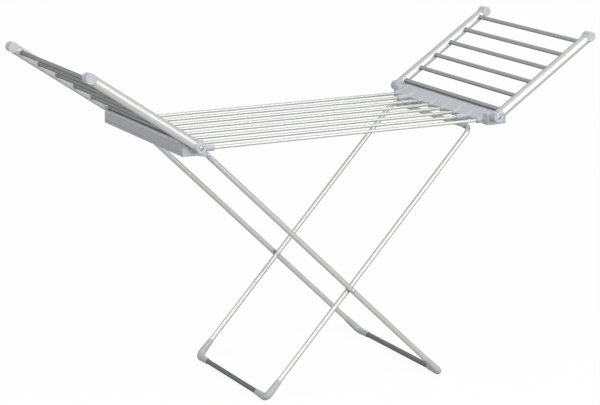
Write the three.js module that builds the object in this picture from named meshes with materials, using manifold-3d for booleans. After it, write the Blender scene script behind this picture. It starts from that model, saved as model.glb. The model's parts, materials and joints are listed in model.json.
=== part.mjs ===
// A folding clothes airer: a deck of heated rails between two end housings,
// two winged frames of heated rungs hinged to them, and crossed folding legs.
// Millimetres, +Z up, +X along the deck, the near side at -Y.
// The origin is on the floor, under the middle of the deck.

import * as THREE from 'three';
import { mergeVertices } from 'three/addons/utils/BufferGeometryUtils.js';
import Module from 'manifold-3d';

const wasm = await Module();
wasm.setup();

// Main sizes
const hinge_span = 871;             // between the axes of the two wing hinges
const hinge_height = 707.5;         // of those axes above the floor
const wing_width = 517;             // between the axes of a wing's two side tubes
const wing_length = 348.8;          // from the hinge axis to the centre of a tip cap
const wing_rise = 34;               // degrees above level, with the wing on its stop
const outer_foot_reach = 297.8;     // from the middle to the outer frame's foot, along +X
const inner_foot_reach = 220.2;     // from the middle to the inner frame's foot, along -X

// Fits
const clearance = 0.3;              // between pieces that touch or turn on each other
const side_gap = 0.5;               // between a housing and the knuckle that turns beside it
const crossing_gap = 4.9;           // between an outer and an inner leg where they cross
const overrun = 2;                  // how far a cutting solid runs past the face that it cuts

// Deck rails
const rail_count = 8;
const rail_diameter = 9;
const rail_wall = 0.8;
const rail_drop = 14;               // rail axes below the hinge axes
const rail_inset = 30.2;            // outermost rail axis from the end of a housing
const rail_end_inset = 8;           // a rail's end, inboard of the hinge axis

// Wing frames
const side_tube_diameter = 26.6;
const side_tube_wall = 1.4;
const rung_count = 6;
const rung_diameter = 11.4;
const rung_wall = 0.9;
const rung_insertion = 4;           // how far a rung stands into a side tube, past its wall
const ferrule_wall = 1.2;
const ferrule_length = 4;

// Knuckles and tip caps at the ends of the side tubes
const disc_diameter = 27.8;
const disc_proud = 0.6;             // of the disc's outer face beyond the side tube
const disc_edge = 2;                // chamfer around a disc's outer face
const collar_length = 5;            // of a knuckle, between its disc and the side tube
const tongue_length = 24;           // half-round tongue that stands in the side tube
const dish_diameter = 20;           // flat floor of the shallow dish in that face
const dish_depth = 0.7;

// Wing hinge screws
const hinge_screw_diameter = 6;
const hinge_screw_depth = 16;       // into the end block of a housing
const hinge_head_diameter = 11;
const hinge_head_height = 3.2;
const cross_slot_length = 6;
const cross_slot_width = 1.3;
const cross_slot_depth = 1.6;

// End housings, measured from the hinge axis
const housing_reach = 38.8;         // outer face, outboard
const housing_drop = 24;            // underside, below
const housing_wall = 2.2;
const lip_radius = 4;               // along the outer top edge
const slope_reach = 9.8;            // where the sloping top meets the flat one, outboard
const nose_reach = 28;              // inner edge of the sloping top, inboard
const nose_rise = 2.2;              // of that edge above the rail axes
const nose_height = 7.2;
const block_inset = 12.6;           // inner face of the end blocks, inboard
const block_length = 22.5;
const block_edge = 3;               // chamfer on the blocks' inner top edge
const socket_wall = 2.2;
const socket_reach = 34.6;          // mouth of a rail's socket, inboard
const long_socket_reach = 60.6;     // mouth of the longer sockets
const fairing_rise = 3.2;           // of the fairings above the sloping top
const pillar_diameter = 8;
const pillar_bore = 3.4;
const pillar_reach = 20;            // axes of the screw pillars, outboard
const pillar_shares = [-0.6, 0, 0.6];   // along the housing's inner half length

// Heating cable
const cable_diameter = 2.6;
const cable_bend = 6.5;             // radius at the middle of the cable
const cable_turn_reach = 2;         // where the cable turns in a housing, outboard
const cable_lead_reach = 14;        // where its leads run along the right housing, outboard
const cable_lead_spread = 5;        // of the two leads at the switch, to either side

// Power switch on the right housing's outer face
const switch_share = -0.45;         // along the housing's inner half length
const switch_drop = 4.8;            // its middle, below the hinge axis
const bezel_length = 21;
const bezel_height = 15;
const bezel_thickness = 1.5;
const switch_body_length = 18.6;
const switch_body_height = 12.8;
const switch_body_depth = 13;
const switch_wall = 1.1;
const rocker_recess_depth = 10;
const rocker_pivot_depth = 3;       // behind the outer face
const rocker_half_length = 6.8;
const rocker_valley = 4.2;          // middle of the rocker's face, in front of its pivot
const rocker_tip = 6;               // its two ends, in front of its pivot
const rocker_heel = 4;              // its back, behind its pivot
const rocker_heel_half = 3;
const rocker_shoulder = 0.5;
const rocker_tilt = 12;             // degrees to either side
const rocker_pin_diameter = 2.4;

// Cord outlet moulded on the right housing's outer face
const outlet_share = -0.83;
const outlet_drop = 4.8;
const outlet_root_diameter = 14;
const outlet_mouth_diameter = 12;
const outlet_bore_diameter = 5.4;   // the cord's own size
const outlet_length = 6;

// Legs
const outer_leg_diameter = 14;
const inner_leg_diameter = 13;
const leg_wall = 1.2;
const leg_hinge_inset = 37.2;       // outer frame's hinge, inboard of the wing hinge axis
const leg_hinge_drop = 28.5;        // and below it
const leg_inset = 22.7;             // outer legs, in from the end of a housing
const inner_bend = 24;              // radius at the inner frame's two top corners
const foot_diameter = 19.6;
const foot_flat = 0.5;              // cut off a foot's underside
const foot_bend = 14;
const foot_sleeve = 42;
const foot_stop = 2;                // the solid stretch between a tube's end and the bend
const frame_collar_length = 8;
const frame_collar_wall = 2;

// Leg hinge under the left housing
const leg_pin_diameter = 5;
const leg_pin_head_diameter = 9;
const leg_pin_head_height = 2;
const eye_diameter = 13;
const neck_start = 2;
const neck_length = 25;
const leg_spigot_length = 25;
const ear_diameter = 12.2;
const ear_thickness = 3.5;
const rib_reach = 13;               // where the ribs behind ears and catches end, outboard
const rib_depth = 4;                // of those ribs at the end blocks' inner face

// Catch for the inner frame under the right housing
const catch_inset = 44.7;           // cross tube, inboard of the wing hinge axis
const catch_drop = 34.2;            // and below it
const catch_share = 0.55;           // of the housing's inner half length
const catch_width = 26;
const catch_thickness = 4.5;
const catch_tongue = 5;
const catch_wrap = 20;              // degrees below level, where the back wall ends

// Pivot of the crossed legs
const rivet_diameter = 5;
const rivet_head_diameter = 11;
const rivet_head_height = 2.2;
const rivet_crown_share = 0.6;
const rivet_shoulder_diameter = 15; // fills the gap between the two legs

// Facets
const disc_sides = 16;
const tube_sides = 12;
const leg_sides = 12;
const socket_sides = 10;
const rung_sides = 8;
const rail_sides = 8;
const small_sides = 8;
const pillar_sides = 6;
const cable_sides = 4;
const bend_steps = 3;
const cable_steps = 2;
const arc_steps = 3;

// Sizes worked out from those above
const degree = Math.PI / 180;
const side_tube_radius = side_tube_diameter / 2;
const side_tube_bore = side_tube_radius - side_tube_wall;
const rung_radius = rung_diameter / 2;
const rail_radius = rail_diameter / 2;
const cable_radius = cable_diameter / 2;
const disc_radius = disc_diameter / 2;
const outer_leg_radius = outer_leg_diameter / 2;
const inner_leg_radius = inner_leg_diameter / 2;
const foot_radius = foot_diameter / 2;
const foot_height = foot_radius - foot_flat;

const wing_half = wing_width / 2;
const housing_half = wing_half - side_tube_radius - side_gap;
const inner_half = housing_half - block_length;
const cavity_half = inner_half - housing_wall;
const rail_half_span = housing_half - rail_inset;
const rail_pitch = 2 * rail_half_span / (rail_count - 1);

const ferrule_radius = rung_radius + clearance + ferrule_wall;
const tube_inset = disc_radius + collar_length + clearance;
const tip_inset = disc_radius + clearance;
const end_rung_inset = tube_inset + ferrule_radius;
const rung_pitch = (wing_length - 2 * end_rung_inset) / (rung_count - 1);
const first_rung_rise = end_rung_inset * Math.sin(wing_rise * degree);
const crest_height = first_rung_rise - rung_radius - clearance;
const block_height = first_rung_rise - ferrule_radius - clearance;

const socket_radius = rail_radius + clearance + socket_wall;
const nose_top = nose_rise - rail_drop;
const nose_bottom = nose_top - nose_height;
const slope_angle = Math.atan2(crest_height - nose_top, slope_reach + nose_reach);
const cable_rail_drop = rail_drop + rail_radius - rail_wall - cable_radius - clearance;
const cable_rung_drop = rung_radius - rung_wall - cable_radius - clearance;

const outer_leg_y = housing_half - leg_inset;
const inner_leg_y = outer_leg_y - outer_leg_radius - crossing_gap - inner_leg_radius;
const eye_half = outer_leg_radius;
const ear_inner = eye_half + clearance;
const ear_outer = ear_inner + ear_thickness;
const switch_y = switch_share * inner_half;
const outlet_y = outlet_share * inner_half;
const catch_y = catch_share * inner_half;

// Materials
const finish = (color, roughness, metalness) => new THREE.MeshStandardMaterial({
  color, roughness, metalness, flatShading: true,
});
const satin_aluminium = finish(0xc3c6c6, 0.35, 0.9);
const silver_tube = finish(0xb4b7b6, 0.4, 0.8);
const grey_rung = finish(0x8f9492, 0.45, 0.6);
const dark_tube = finish(0x6b6f6c, 0.5, 0.5);
const light_plastic = finish(0xb3b7bb, 0.55, 0);
const grey_plastic = finish(0x9a9fa3, 0.6, 0);
const dark_plastic = finish(0x3b3e41, 0.6, 0);
const steel = finish(0x9b9d9f, 0.3, 1);
const cable_sheath = finish(0xd8d4cc, 0.7, 0);
const rocker_plastic = finish(0x9c2b25, 0.4, 0);

// Points and closed bodies
const at = (x, y, z) => new THREE.Vector3(x, y, z);
const along = (from, direction, distance) => from.clone().addScaledVector(direction, distance);

// Joins equal corners and drops the flat triangles that a revolve leaves on its axis.
function weld(geometry) {
  const bare = geometry.clone();
  bare.deleteAttribute('normal');
  bare.deleteAttribute('uv');
  const merged = mergeVertices(bare);
  const corners = merged.getIndex().array;
  const kept = [];
  for (let i = 0; i < corners.length; i += 3) {
    const [a, b, c] = [corners[i], corners[i + 1], corners[i + 2]];
    if (a !== b && b !== c && c !== a) kept.push(a, b, c);
  }
  merged.setIndex(kept);
  return merged;
}

function toSolid(geometry) {
  const welded = weld(geometry);
  return new wasm.Manifold(new wasm.Mesh({
    numProp: 3,
    vertProperties: new Float32Array(welded.getAttribute('position').array),
    triVerts: new Uint32Array(welded.getIndex().array),
  }));
}

function toGeometry(solid) {
  const mesh = solid.getMesh();
  const geometry = new THREE.BufferGeometry();
  geometry.setAttribute('position', new THREE.BufferAttribute(mesh.vertProperties, 3));
  geometry.setIndex(new THREE.BufferAttribute(mesh.triVerts, 1));
  return geometry;
}

function join(...pieces) {
  return toGeometry(pieces.map(toSolid).reduce((body, piece) => body.add(piece)));
}

function cut(piece, ...tools) {
  return toGeometry(tools.map(toSolid).reduce((body, tool) => body.subtract(tool), toSolid(piece)));
}

// The same body on the other side of the deck's middle plane, its faces still pointing out.
function mirrored(geometry) {
  const copy = weld(geometry);
  copy.scale(1, -1, 1);
  const corners = copy.getIndex().array;
  for (let i = 0; i < corners.length; i += 3) {
    [corners[i], corners[i + 1]] = [corners[i + 1], corners[i]];
  }
  return copy;
}

// A profile of [radius, distance] pairs turned about the line from a point in a direction.
function turned(profile, origin, direction, sides) {
  const points = profile.map(([radius, distance]) => new THREE.Vector2(radius, distance));
  const geometry = new THREE.LatheGeometry(points, sides);
  const turn = new THREE.Quaternion().setFromUnitVectors(at(0, 1, 0), direction.clone().normalize());
  geometry.applyQuaternion(turn);
  geometry.translate(origin.x, origin.y, origin.z);
  return geometry;
}

function bar(from, to, radius, sides) {
  const length = from.distanceTo(to);
  return turned([[0, 0], [radius, 0], [radius, length], [0, length]], from, to.clone().sub(from), sides);
}

function pipe(from, to, radius, bore, sides) {
  const length = from.distanceTo(to);
  const profile = [[radius, 0], [radius, length], [bore, length], [bore, 0], [radius, 0]];
  return turned(profile, from, to.clone().sub(from), sides);
}

function box(low, high) {
  const size = high.clone().sub(low);
  const middle = low.clone().add(high).multiplyScalar(0.5);
  return new THREE.BoxGeometry(size.x, size.y, size.z).translate(middle.x, middle.y, middle.z);
}

// An outline drawn in X and Z, given a thickness along Y.
function slab(outline, yLow, yHigh) {
  const geometry = new THREE.ExtrudeGeometry(outline, {
    depth: yHigh - yLow, bevelEnabled: false, curveSegments: arc_steps,
  });
  return geometry.rotateX(Math.PI / 2).translate(0, yHigh, 0);
}

// A route with a ring of points at each end of its straight runs and a few round each bend.
class BentRoute extends THREE.Curve {
  constructor(corners, radius, steps) {
    super();
    this.places = [];
    this.headings = [];
    const heading = (from, to) => to.clone().sub(from).normalize();
    corners.forEach((corner, i) => {
      const isFirst = i === 0;
      const isLast = i === corners.length - 1;
      const arrive = isFirst ? heading(corner, corners[1]) : heading(corners[i - 1], corner);
      if (isFirst || isLast) {
        this.places.push(corner.clone());
        this.headings.push(arrive);
        return;
      }
      const leave = heading(corner, corners[i + 1]);
      const turn = arrive.angleTo(leave);
      const start = along(corner, arrive, -radius * Math.tan(turn / 2));
      const inward = along(leave, arrive, -leave.dot(arrive)).normalize();
      for (let step = 0; step <= steps; step += 1) {
        const angle = turn * step / steps;
        const ahead = along(start, arrive, radius * Math.sin(angle));
        this.places.push(along(ahead, inward, radius * (1 - Math.cos(angle))));
        this.headings.push(along(arrive.clone().multiplyScalar(Math.cos(angle)), inward, Math.sin(angle)));
      }
    });
  }

  between(list, t) {
    const place = t * (list.length - 1);
    const first = Math.min(Math.floor(place), list.length - 2);
    return list[first].clone().lerp(list[first + 1], place - first);
  }

  getPoint(t) {
    return this.between(this.places, t);
  }

  getPointAt(t) {
    return this.getPoint(t);
  }

  getTangent(t) {
    return this.between(this.headings, t).normalize();
  }

  getTangentAt(t) {
    return this.getTangent(t);
  }
}

function circle(radius, sides) {
  const points = [];
  for (let i = 0; i < sides; i += 1) {
    const angle = 2 * Math.PI * i / sides;
    points.push(new THREE.Vector2(radius * Math.cos(angle), radius * Math.sin(angle)));
  }
  return points;
}

// A round tube or, with no bore, a round bar bent along a route of corners.
function bentTube(corners, bend, radius, bore, sides, steps) {
  const route = new BentRoute(corners, bend, steps);
  const section = new THREE.Shape(circle(radius, sides));
  if (bore > 0) section.holes.push(new THREE.Path(circle(bore, sides)));
  return new THREE.ExtrudeGeometry(section, { steps: route.places.length - 1, extrudePath: route });
}

// Scene graph
function named(parent, name, geometry, material) {
  const mesh = new THREE.Mesh(geometry, material);
  mesh.name = name;
  parent.add(mesh);
  return mesh;
}

// The axes of one end of the deck: X outboard from the wing hinge axis, Z up from it
function sideGroup(parent, isRight) {
  const side = new THREE.Group();
  side.position.set(isRight ? hinge_span / 2 : -hinge_span / 2, 0, hinge_height);
  side.rotation.set(0, 0, isRight ? 0 : Math.PI);
  parent.add(side);
  return side;
}

// End housings
const up = at(0, 0, 1);
const railY = (index) => index * rail_pitch - rail_half_span;
const railIndices = Array.from({ length: rail_count }, (unused, index) => index);

function housingOutline() {
  const outline = new THREE.Shape();
  outline.moveTo(-block_inset, -housing_drop);
  outline.lineTo(housing_reach, -housing_drop);
  outline.lineTo(housing_reach, crest_height - lip_radius);
  outline.absarc(housing_reach - lip_radius, crest_height - lip_radius, lip_radius, 0, Math.PI / 2, false);
  outline.lineTo(slope_reach, crest_height);
  outline.lineTo(-nose_reach, nose_top);
  outline.lineTo(-nose_reach, nose_bottom);
  return outline;
}

function blockOutline() {
  const outline = new THREE.Shape();
  outline.moveTo(-block_inset, -housing_drop);
  outline.lineTo(housing_reach, -housing_drop);
  outline.lineTo(housing_reach, block_height - lip_radius);
  outline.absarc(housing_reach - lip_radius, block_height - lip_radius, lip_radius, 0, Math.PI / 2, false);
  outline.lineTo(block_edge - block_inset, block_height);
  outline.lineTo(-block_inset, block_height - block_edge);
  return outline;
}

function cavityOutline() {
  const left = housing_wall - block_inset;
  const right = housing_reach - housing_wall;
  const floor = housing_wall - housing_drop;
  const ceiling = crest_height - housing_wall;
  const depth = housing_wall / Math.cos(slope_angle);
  const slopeAt = (x) => nose_top + (x + nose_reach) * Math.tan(slope_angle) - depth;
  const outline = new THREE.Shape();
  outline.moveTo(left, floor);
  outline.lineTo(right, floor);
  outline.lineTo(right, ceiling);
  outline.lineTo((ceiling - slopeAt(0)) / Math.tan(slope_angle), ceiling);
  outline.lineTo(left, slopeAt(left));
  return outline;
}

// The half-round finger that runs up the sloping top from a rail's socket.
function fairing(index) {
  const y = railY(index);
  const depth = socket_radius - fairing_rise;
  const noseX = depth * Math.sin(slope_angle) - nose_reach;
  const noseZ = nose_top - depth * Math.cos(slope_angle);
  const startX = noseX + (-rail_drop - noseZ) / Math.tan(slope_angle);
  const endZ = noseZ + (slope_reach - noseX) * Math.tan(slope_angle);
  return bar(at(startX, y, -rail_drop), at(slope_reach, y, endZ), socket_radius, socket_sides);
}

// The ones next to the outermost are long, and on the left, above the legs' hinge, those too.
function socket(index, isRight) {
  const inward = Math.min(index, rail_count - 1 - index);
  const isLong = inward === 1 || (inward === 0 && !isRight);
  const mouth = at(isLong ? -long_socket_reach : -socket_reach, railY(index), -rail_drop);
  return bar(mouth, at(-block_inset, railY(index), -rail_drop), socket_radius, socket_sides);
}

function railBore(index) {
  const from = at(-long_socket_reach - overrun, railY(index), -rail_drop);
  const to = at(housing_wall + overrun - block_inset, railY(index), -rail_drop);
  return bar(from, to, rail_radius + clearance, small_sides);
}

function hingeScrewHole(side) {
  const outside = at(0, side * (housing_half + overrun), 0);
  const bottom = at(0, side * (housing_half - hinge_screw_depth - clearance), 0);
  return bar(outside, bottom, hinge_screw_diameter / 2 + clearance, small_sides);
}

// The whole moulding before it is hollowed and split into a cover and a base.
function housingBlank(isRight) {
  const blank = join(
    slab(housingOutline(), -inner_half, inner_half),
    slab(blockOutline(), inner_half - housing_wall, housing_half),
    slab(blockOutline(), -housing_half, housing_wall - inner_half),
    ...railIndices.map((index) => socket(index, isRight)),
    ...railIndices.map(fairing),
  );
  const aboveCrest = box(
    at(-nose_reach, -inner_half, crest_height),
    at(housing_reach, inner_half, crest_height + disc_diameter),
  );
  return cut(blank, aboveCrest);
}

// The half of space above or below the level where cover and base meet.
function beyondSplit(side) {
  const face = side * clearance / 2 - rail_drop;
  const far = face - side * wing_length;
  const reach = at(wing_length, wing_width, 0);
  return box(at(-reach.x, -reach.y, Math.min(face, far)), at(reach.x, reach.y, Math.max(face, far)));
}

const hollows = () => [slab(cavityOutline(), -cavity_half, cavity_half), ...railIndices.map(railBore)];

// Round pillars for the housing's screws, from one level to another.
function pillars(low, high, radius) {
  return pillar_shares.map((share) => {
    const foot = at(pillar_reach, share * inner_half, 0);
    return bar(along(foot, up, low), along(foot, up, high), radius, pillar_sides);
  });
}

function withPillars(shell, low, high, boreLow, boreHigh) {
  const solid = join(shell, ...pillars(low, high, pillar_diameter / 2));
  return cut(solid, ...pillars(boreLow, boreHigh, pillar_bore / 2));
}

function housingCover(isRight) {
  const shell = cut(housingBlank(isRight), beyondSplit(1), ...hollows(), hingeScrewHole(1), hingeScrewHole(-1));
  const face = clearance / 2 - rail_drop;
  const roof = crest_height - housing_wall;
  return withPillars(shell, face, roof + housing_wall / 2, face - overrun, roof - overrun);
}

function housingBase(isRight, ...underside) {
  const blank = cut(housingBlank(isRight), beyondSplit(-1));
  const shell = cut(join(blank, ...underside), ...hollows());
  const face = -clearance / 2 - rail_drop;
  return withPillars(shell, housing_wall / 2 - housing_drop, face, -housing_drop - overrun, face + overrun);
}

// Outline of a rib that starts inside the base's floor and runs to the nose.
function startRib() {
  const outline = new THREE.Shape();
  const embed = housing_wall / 2;
  outline.moveTo(rib_reach, embed - housing_drop);
  outline.lineTo(-block_inset, embed - housing_drop);
  outline.lineTo(-nose_reach, embed + nose_bottom);
  return outline;
}

function endRib(outline) {
  outline.lineTo(-block_inset, -housing_drop - rib_depth);
  outline.lineTo(rib_reach, -housing_drop);
  return outline;
}

// Ears for the leg hinge under the left housing
function earOutline() {
  const outline = startRib();
  const radius = ear_diameter / 2;
  outline.lineTo(-leg_hinge_inset, radius - leg_hinge_drop);
  outline.absarc(-leg_hinge_inset, -leg_hinge_drop, radius, Math.PI / 2, 1.5 * Math.PI, false);
  return endRib(outline);
}

function legEars() {
  const pinHole = bar(
    at(-leg_hinge_inset, outer_leg_y - ear_outer - overrun, -leg_hinge_drop),
    at(-leg_hinge_inset, outer_leg_y + ear_outer + overrun, -leg_hinge_drop),
    leg_pin_diameter / 2 + clearance, small_sides,
  );
  const ears = [
    slab(earOutline(), outer_leg_y + ear_inner, outer_leg_y + ear_outer),
    slab(earOutline(), outer_leg_y - ear_outer, outer_leg_y - ear_inner),
  ].map((ear) => cut(ear, pinHole));
  return [...ears, ...ears.map(mirrored)];
}

// Catches for the inner frame's cross tube, under the right housing
function catchOutline() {
  const seat = inner_leg_radius + clearance;
  const back = seat + catch_thickness;
  const end = -catch_wrap * degree;
  const outline = startRib();
  outline.lineTo(-catch_inset, back - catch_drop);
  outline.lineTo(-catch_inset - catch_tongue, back - catch_drop);
  outline.lineTo(-catch_inset - catch_tongue, seat - catch_drop);
  outline.absarc(-catch_inset, -catch_drop, seat, Math.PI / 2, end, true);
  outline.lineTo(back * Math.cos(end) - catch_inset, back * Math.sin(end) - catch_drop);
  return endRib(outline);
}

function legCatches() {
  const hook = slab(catchOutline(), catch_y - catch_width / 2, catch_y + catch_width / 2);
  return [hook, mirrored(hook)];
}

function legPin() {
  const reach = ear_outer + clearance;
  const start = at(-leg_hinge_inset, outer_leg_y - reach - leg_pin_head_height, -leg_hinge_drop);
  const shank = 2 * reach;
  const head = leg_pin_head_diameter / 2;
  const radius = leg_pin_diameter / 2;
  const profile = [
    [0, 0],
    [head, 0],
    [head, leg_pin_head_height],
    [radius, leg_pin_head_height],
    [radius, leg_pin_head_height + shank],
    [head, leg_pin_head_height + shank],
    [head, 2 * leg_pin_head_height + shank],
    [0, 2 * leg_pin_head_height + shank],
  ];
  return turned(profile, start, at(0, 1, 0), small_sides);
}

// Openings and the moulded cord outlet in the right housing's outer face
function switchWindow() {
  const low = at(housing_reach - housing_wall - overrun, switch_y, -switch_drop);
  const high = at(housing_reach + overrun, switch_y, -switch_drop);
  const half = at(0, switch_body_length / 2 + clearance, switch_body_height / 2 + clearance);
  return box(low.sub(half), high.add(half));
}

function rightHousingCover() {
  const root = at(housing_reach - housing_wall / 2, outlet_y, -outlet_drop);
  const length = housing_wall / 2 + outlet_length;
  const profile = [[0, 0], [outlet_root_diameter / 2, 0], [outlet_mouth_diameter / 2, length], [0, length]];
  const outlet = turned(profile, root, at(1, 0, 0), leg_sides);
  const bore = bar(
    at(housing_reach - housing_wall - overrun, outlet_y, -outlet_drop),
    at(housing_reach + outlet_length + overrun, outlet_y, -outlet_drop),
    outlet_bore_diameter / 2, rung_sides,
  );
  return cut(join(housingCover(true), outlet), bore, switchWindow());
}

// Wing hinge screw on the far side, its head let into the knuckle's outer face
const disc_outer_y = wing_half + side_tube_radius + disc_proud;
const disc_inner_y = wing_half - side_tube_radius;
const hinge_head_radius = hinge_head_diameter / 2;

function hingeScrew() {
  const head = disc_outer_y - clearance;
  const length = head - (housing_half - hinge_screw_depth);
  const radius = hinge_screw_diameter / 2;
  const profile = [
    [0, 0],
    [hinge_head_radius, 0],
    [hinge_head_radius, hinge_head_height],
    [radius, hinge_head_height],
    [radius, length],
    [0, length],
  ];
  const body = turned(profile, at(0, head, 0), at(0, -1, 0), socket_sides);
  const slots = [[cross_slot_length, cross_slot_width], [cross_slot_width, cross_slot_length]];
  const tools = slots.map(([wide, tall]) => box(
    at(-wide / 2, head - cross_slot_depth, -tall / 2), at(wide / 2, head + overrun, tall / 2),
  ));
  return cut(body, ...tools);
}

// Wings: X runs along a side tube from the hinge axis, Z is square to the wing
const rungX = (index) => end_rung_inset + index * rung_pitch;
const rungIndices = Array.from({ length: rung_count }, (unused, index) => index);

function sideTube() {
  const tube = pipe(
    at(tube_inset, wing_half, 0), at(wing_length - tip_inset, wing_half, 0),
    side_tube_radius, side_tube_bore, tube_sides,
  );
  const holes = rungIndices.map((index) => bar(
    at(rungX(index), disc_inner_y - overrun, 0), at(rungX(index), wing_half, 0),
    rung_radius + 2 * clearance, small_sides,
  ));
  return cut(tube, ...holes);
}

// Profile of a disc from its dished outer face to its inner one, as [radius, depth].
function discProfile() {
  const depth = disc_outer_y - disc_inner_y;
  return [
    [0, dish_depth],
    [dish_diameter / 2, dish_depth],
    [disc_radius - disc_edge, 0],
    [disc_radius, disc_edge],
    [disc_radius, depth],
    [0, depth],
  ];
}

// A disc with its collar and the tongue that stands in the outer half of the side tube.
function endFitting(collarEnd) {
  const disc = turned(discProfile(), at(0, disc_outer_y, 0), at(0, -1, 0), disc_sides);
  const axis = (x) => at(x, wing_half, 0);
  const collar = bar(axis(dish_diameter / 2), axis(collarEnd), side_tube_radius + disc_proud, tube_sides);
  const tongueRadius = side_tube_bore - clearance;
  const tongue = cut(
    bar(axis(collarEnd - overrun), axis(collarEnd + tongue_length), tongueRadius, tube_sides),
    box(
      at(0, wing_half - side_tube_diameter, -side_tube_diameter),
      at(wing_length, wing_half + cable_radius + clearance, side_tube_diameter),
    ),
  );
  const insideHousing = box(
    at(-disc_diameter, disc_inner_y - disc_diameter, -disc_diameter),
    at(wing_length, disc_inner_y, disc_diameter),
  );
  return cut(join(disc, collar, tongue), insideHousing);
}

// An end fitting with the bore that turns on the hinge screw and a recess for its head.
function knuckle() {
  const outside = at(0, disc_outer_y + overrun, 0);
  const bore = bar(
    outside, at(0, disc_inner_y - overrun, 0), hinge_screw_diameter / 2 + clearance, small_sides,
  );
  const seat = at(0, disc_outer_y - hinge_head_height - 2 * clearance, 0);
  const recess = bar(outside, seat, hinge_head_radius + 2 * clearance, socket_sides);
  return cut(endFitting(tube_inset - clearance), bore, recess);
}

// A rung from end to end, with a tapered ferrule against each side tube.
function rung() {
  const end = disc_inner_y + side_tube_wall + rung_insertion;
  const seat = disc_inner_y - clearance;
  const bore = rung_radius - rung_wall;
  const half = [
    [rung_radius, seat - ferrule_length],
    [ferrule_radius, seat],
    [rung_radius, seat],
    [rung_radius, end],
  ];
  const otherHalf = half.map(([radius, y]) => [radius, -y]).reverse();
  const profile = [...otherHalf, ...half, [bore, end], [bore, -end], otherHalf[0]];
  return turned(profile, at(0, 0, 0), at(0, 1, 0), rung_sides);
}

// The cable enters at one knuckle and crosses the wing in every rung.
function wingCable() {
  const corners = [at(tube_inset, -wing_half, -cable_rung_drop)];
  rungIndices.forEach((index) => {
    const start = index % 2 === 0 ? -wing_half : wing_half;
    corners.push(at(rungX(index), start, -cable_rung_drop), at(rungX(index), -start, -cable_rung_drop));
  });
  return bentTube(corners, cable_bend, cable_radius, 0, cable_sides, cable_steps);
}

function addWing(parent, name, isRight) {
  const wing = new THREE.Group();
  wing.rotation.set(0, -wing_rise * degree, 0);
  sideGroup(parent, isRight).add(wing);

  const farTube = sideTube();
  const nearTube = mirrored(farTube);
  named(wing, `${name}_near_tube`, isRight ? nearTube : farTube, satin_aluminium);
  named(wing, `${name}_far_tube`, isRight ? farTube : nearTube, satin_aluminium);
  const caps = endFitting(tip_inset - clearance).rotateZ(Math.PI).translate(wing_length, 0, 0);
  const ends = { tip_cap: mirrored(caps), knuckle: knuckle() };
  Object.entries(ends).forEach(([piece, far]) => {
    const near = mirrored(far);
    named(wing, `${name}_near_${piece}`, isRight ? near : far, light_plastic);
    named(wing, `${name}_far_${piece}`, isRight ? far : near, light_plastic);
  });
  rungIndices.forEach((index) => {
    named(wing, `${name}_rung_${index + 1}`, rung(), grey_rung).position.x = rungX(index);
  });
  named(wing, `${name}_heating_cable`, wingCable(), cable_sheath);
}

// Heated deck
// The cable crosses the deck in every rail, and both its ends come to the switch.
function deckCable() {
  const middle = hinge_span / 2;
  const turn = middle + cable_turn_reach;
  const lead = middle + cable_lead_reach;
  const back = middle + housing_reach + clearance - switch_body_depth - clearance;
  const z = hinge_height - cable_rail_drop;
  const switchZ = hinge_height - switch_drop;
  const [nearLead, farLead] = [-1, 1].map((side) => switch_y + side * cable_lead_spread);
  const corners = [at(back, nearLead, switchZ), at(lead, nearLead, switchZ)];
  railIndices.forEach((index) => {
    const start = index % 2 === 0 ? turn : -turn;
    const isLast = index === rail_count - 1;
    corners.push(at(start, railY(index), z), at(isLast ? lead : -start, railY(index), z));
  });
  corners.push(at(lead, farLead, switchZ), at(back, farLead, switchZ));
  return bentTube(corners, cable_bend, cable_radius, 0, cable_sides, cable_steps);
}

// Power switch: its bezel and body, and the rocker that tilts about a vertical pin
function switchBezel() {
  const middle = at(housing_reach, switch_y, -switch_drop);
  const blockAt = (xLow, xHigh, length, height) => box(
    at(xLow, middle.y - length / 2, middle.z - height / 2),
    at(xHigh, middle.y + length / 2, middle.z + height / 2),
  );
  const face = housing_reach + clearance;
  const flange = blockAt(face, face + bezel_thickness, bezel_length, bezel_height);
  const body = blockAt(face - switch_body_depth, face + clearance, switch_body_length, switch_body_height);
  const recess = blockAt(
    face - rocker_recess_depth, face + bezel_thickness + overrun,
    switch_body_length - 2 * switch_wall, switch_body_height - 2 * switch_wall,
  );
  const pivot = middle.x - rocker_pivot_depth;
  const pinHoles = bar(
    at(pivot, middle.y, middle.z - switch_body_height / 2 + clearance),
    at(pivot, middle.y, middle.z + switch_body_height / 2 - clearance),
    rocker_pin_diameter / 2 + clearance, small_sides,
  );
  return cut(join(flange, body), recess, pinHoles);
}

function powerRocker() {
  const outline = new THREE.Shape();
  outline.moveTo(rocker_valley, 0);
  outline.lineTo(rocker_tip, rocker_half_length);
  outline.lineTo(-rocker_shoulder, rocker_half_length);
  outline.lineTo(-rocker_heel, rocker_heel_half);
  outline.lineTo(-rocker_heel, -rocker_heel_half);
  outline.lineTo(-rocker_shoulder, -rocker_half_length);
  outline.lineTo(rocker_tip, -rocker_half_length);
  const half = switch_body_height / 2 - switch_wall - clearance;
  const paddle = new THREE.ExtrudeGeometry(outline, { depth: 2 * half, bevelEnabled: false });
  paddle.translate(0, 0, -half);
  const pinHalf = switch_body_height / 2 - 2 * clearance;
  const pin = bar(at(0, 0, -pinHalf), at(0, 0, pinHalf), rocker_pin_diameter / 2, small_sides);
  return join(paddle, pin).rotateZ(-rocker_tilt * degree);
}

function addHingeScrews(housing, side, isRight) {
  const far = hingeScrew();
  const near = mirrored(far);
  named(housing, `${side}_near_hinge_screw`, isRight ? near : far, steel);
  named(housing, `${side}_far_hinge_screw`, isRight ? far : near, steel);
}

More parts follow.
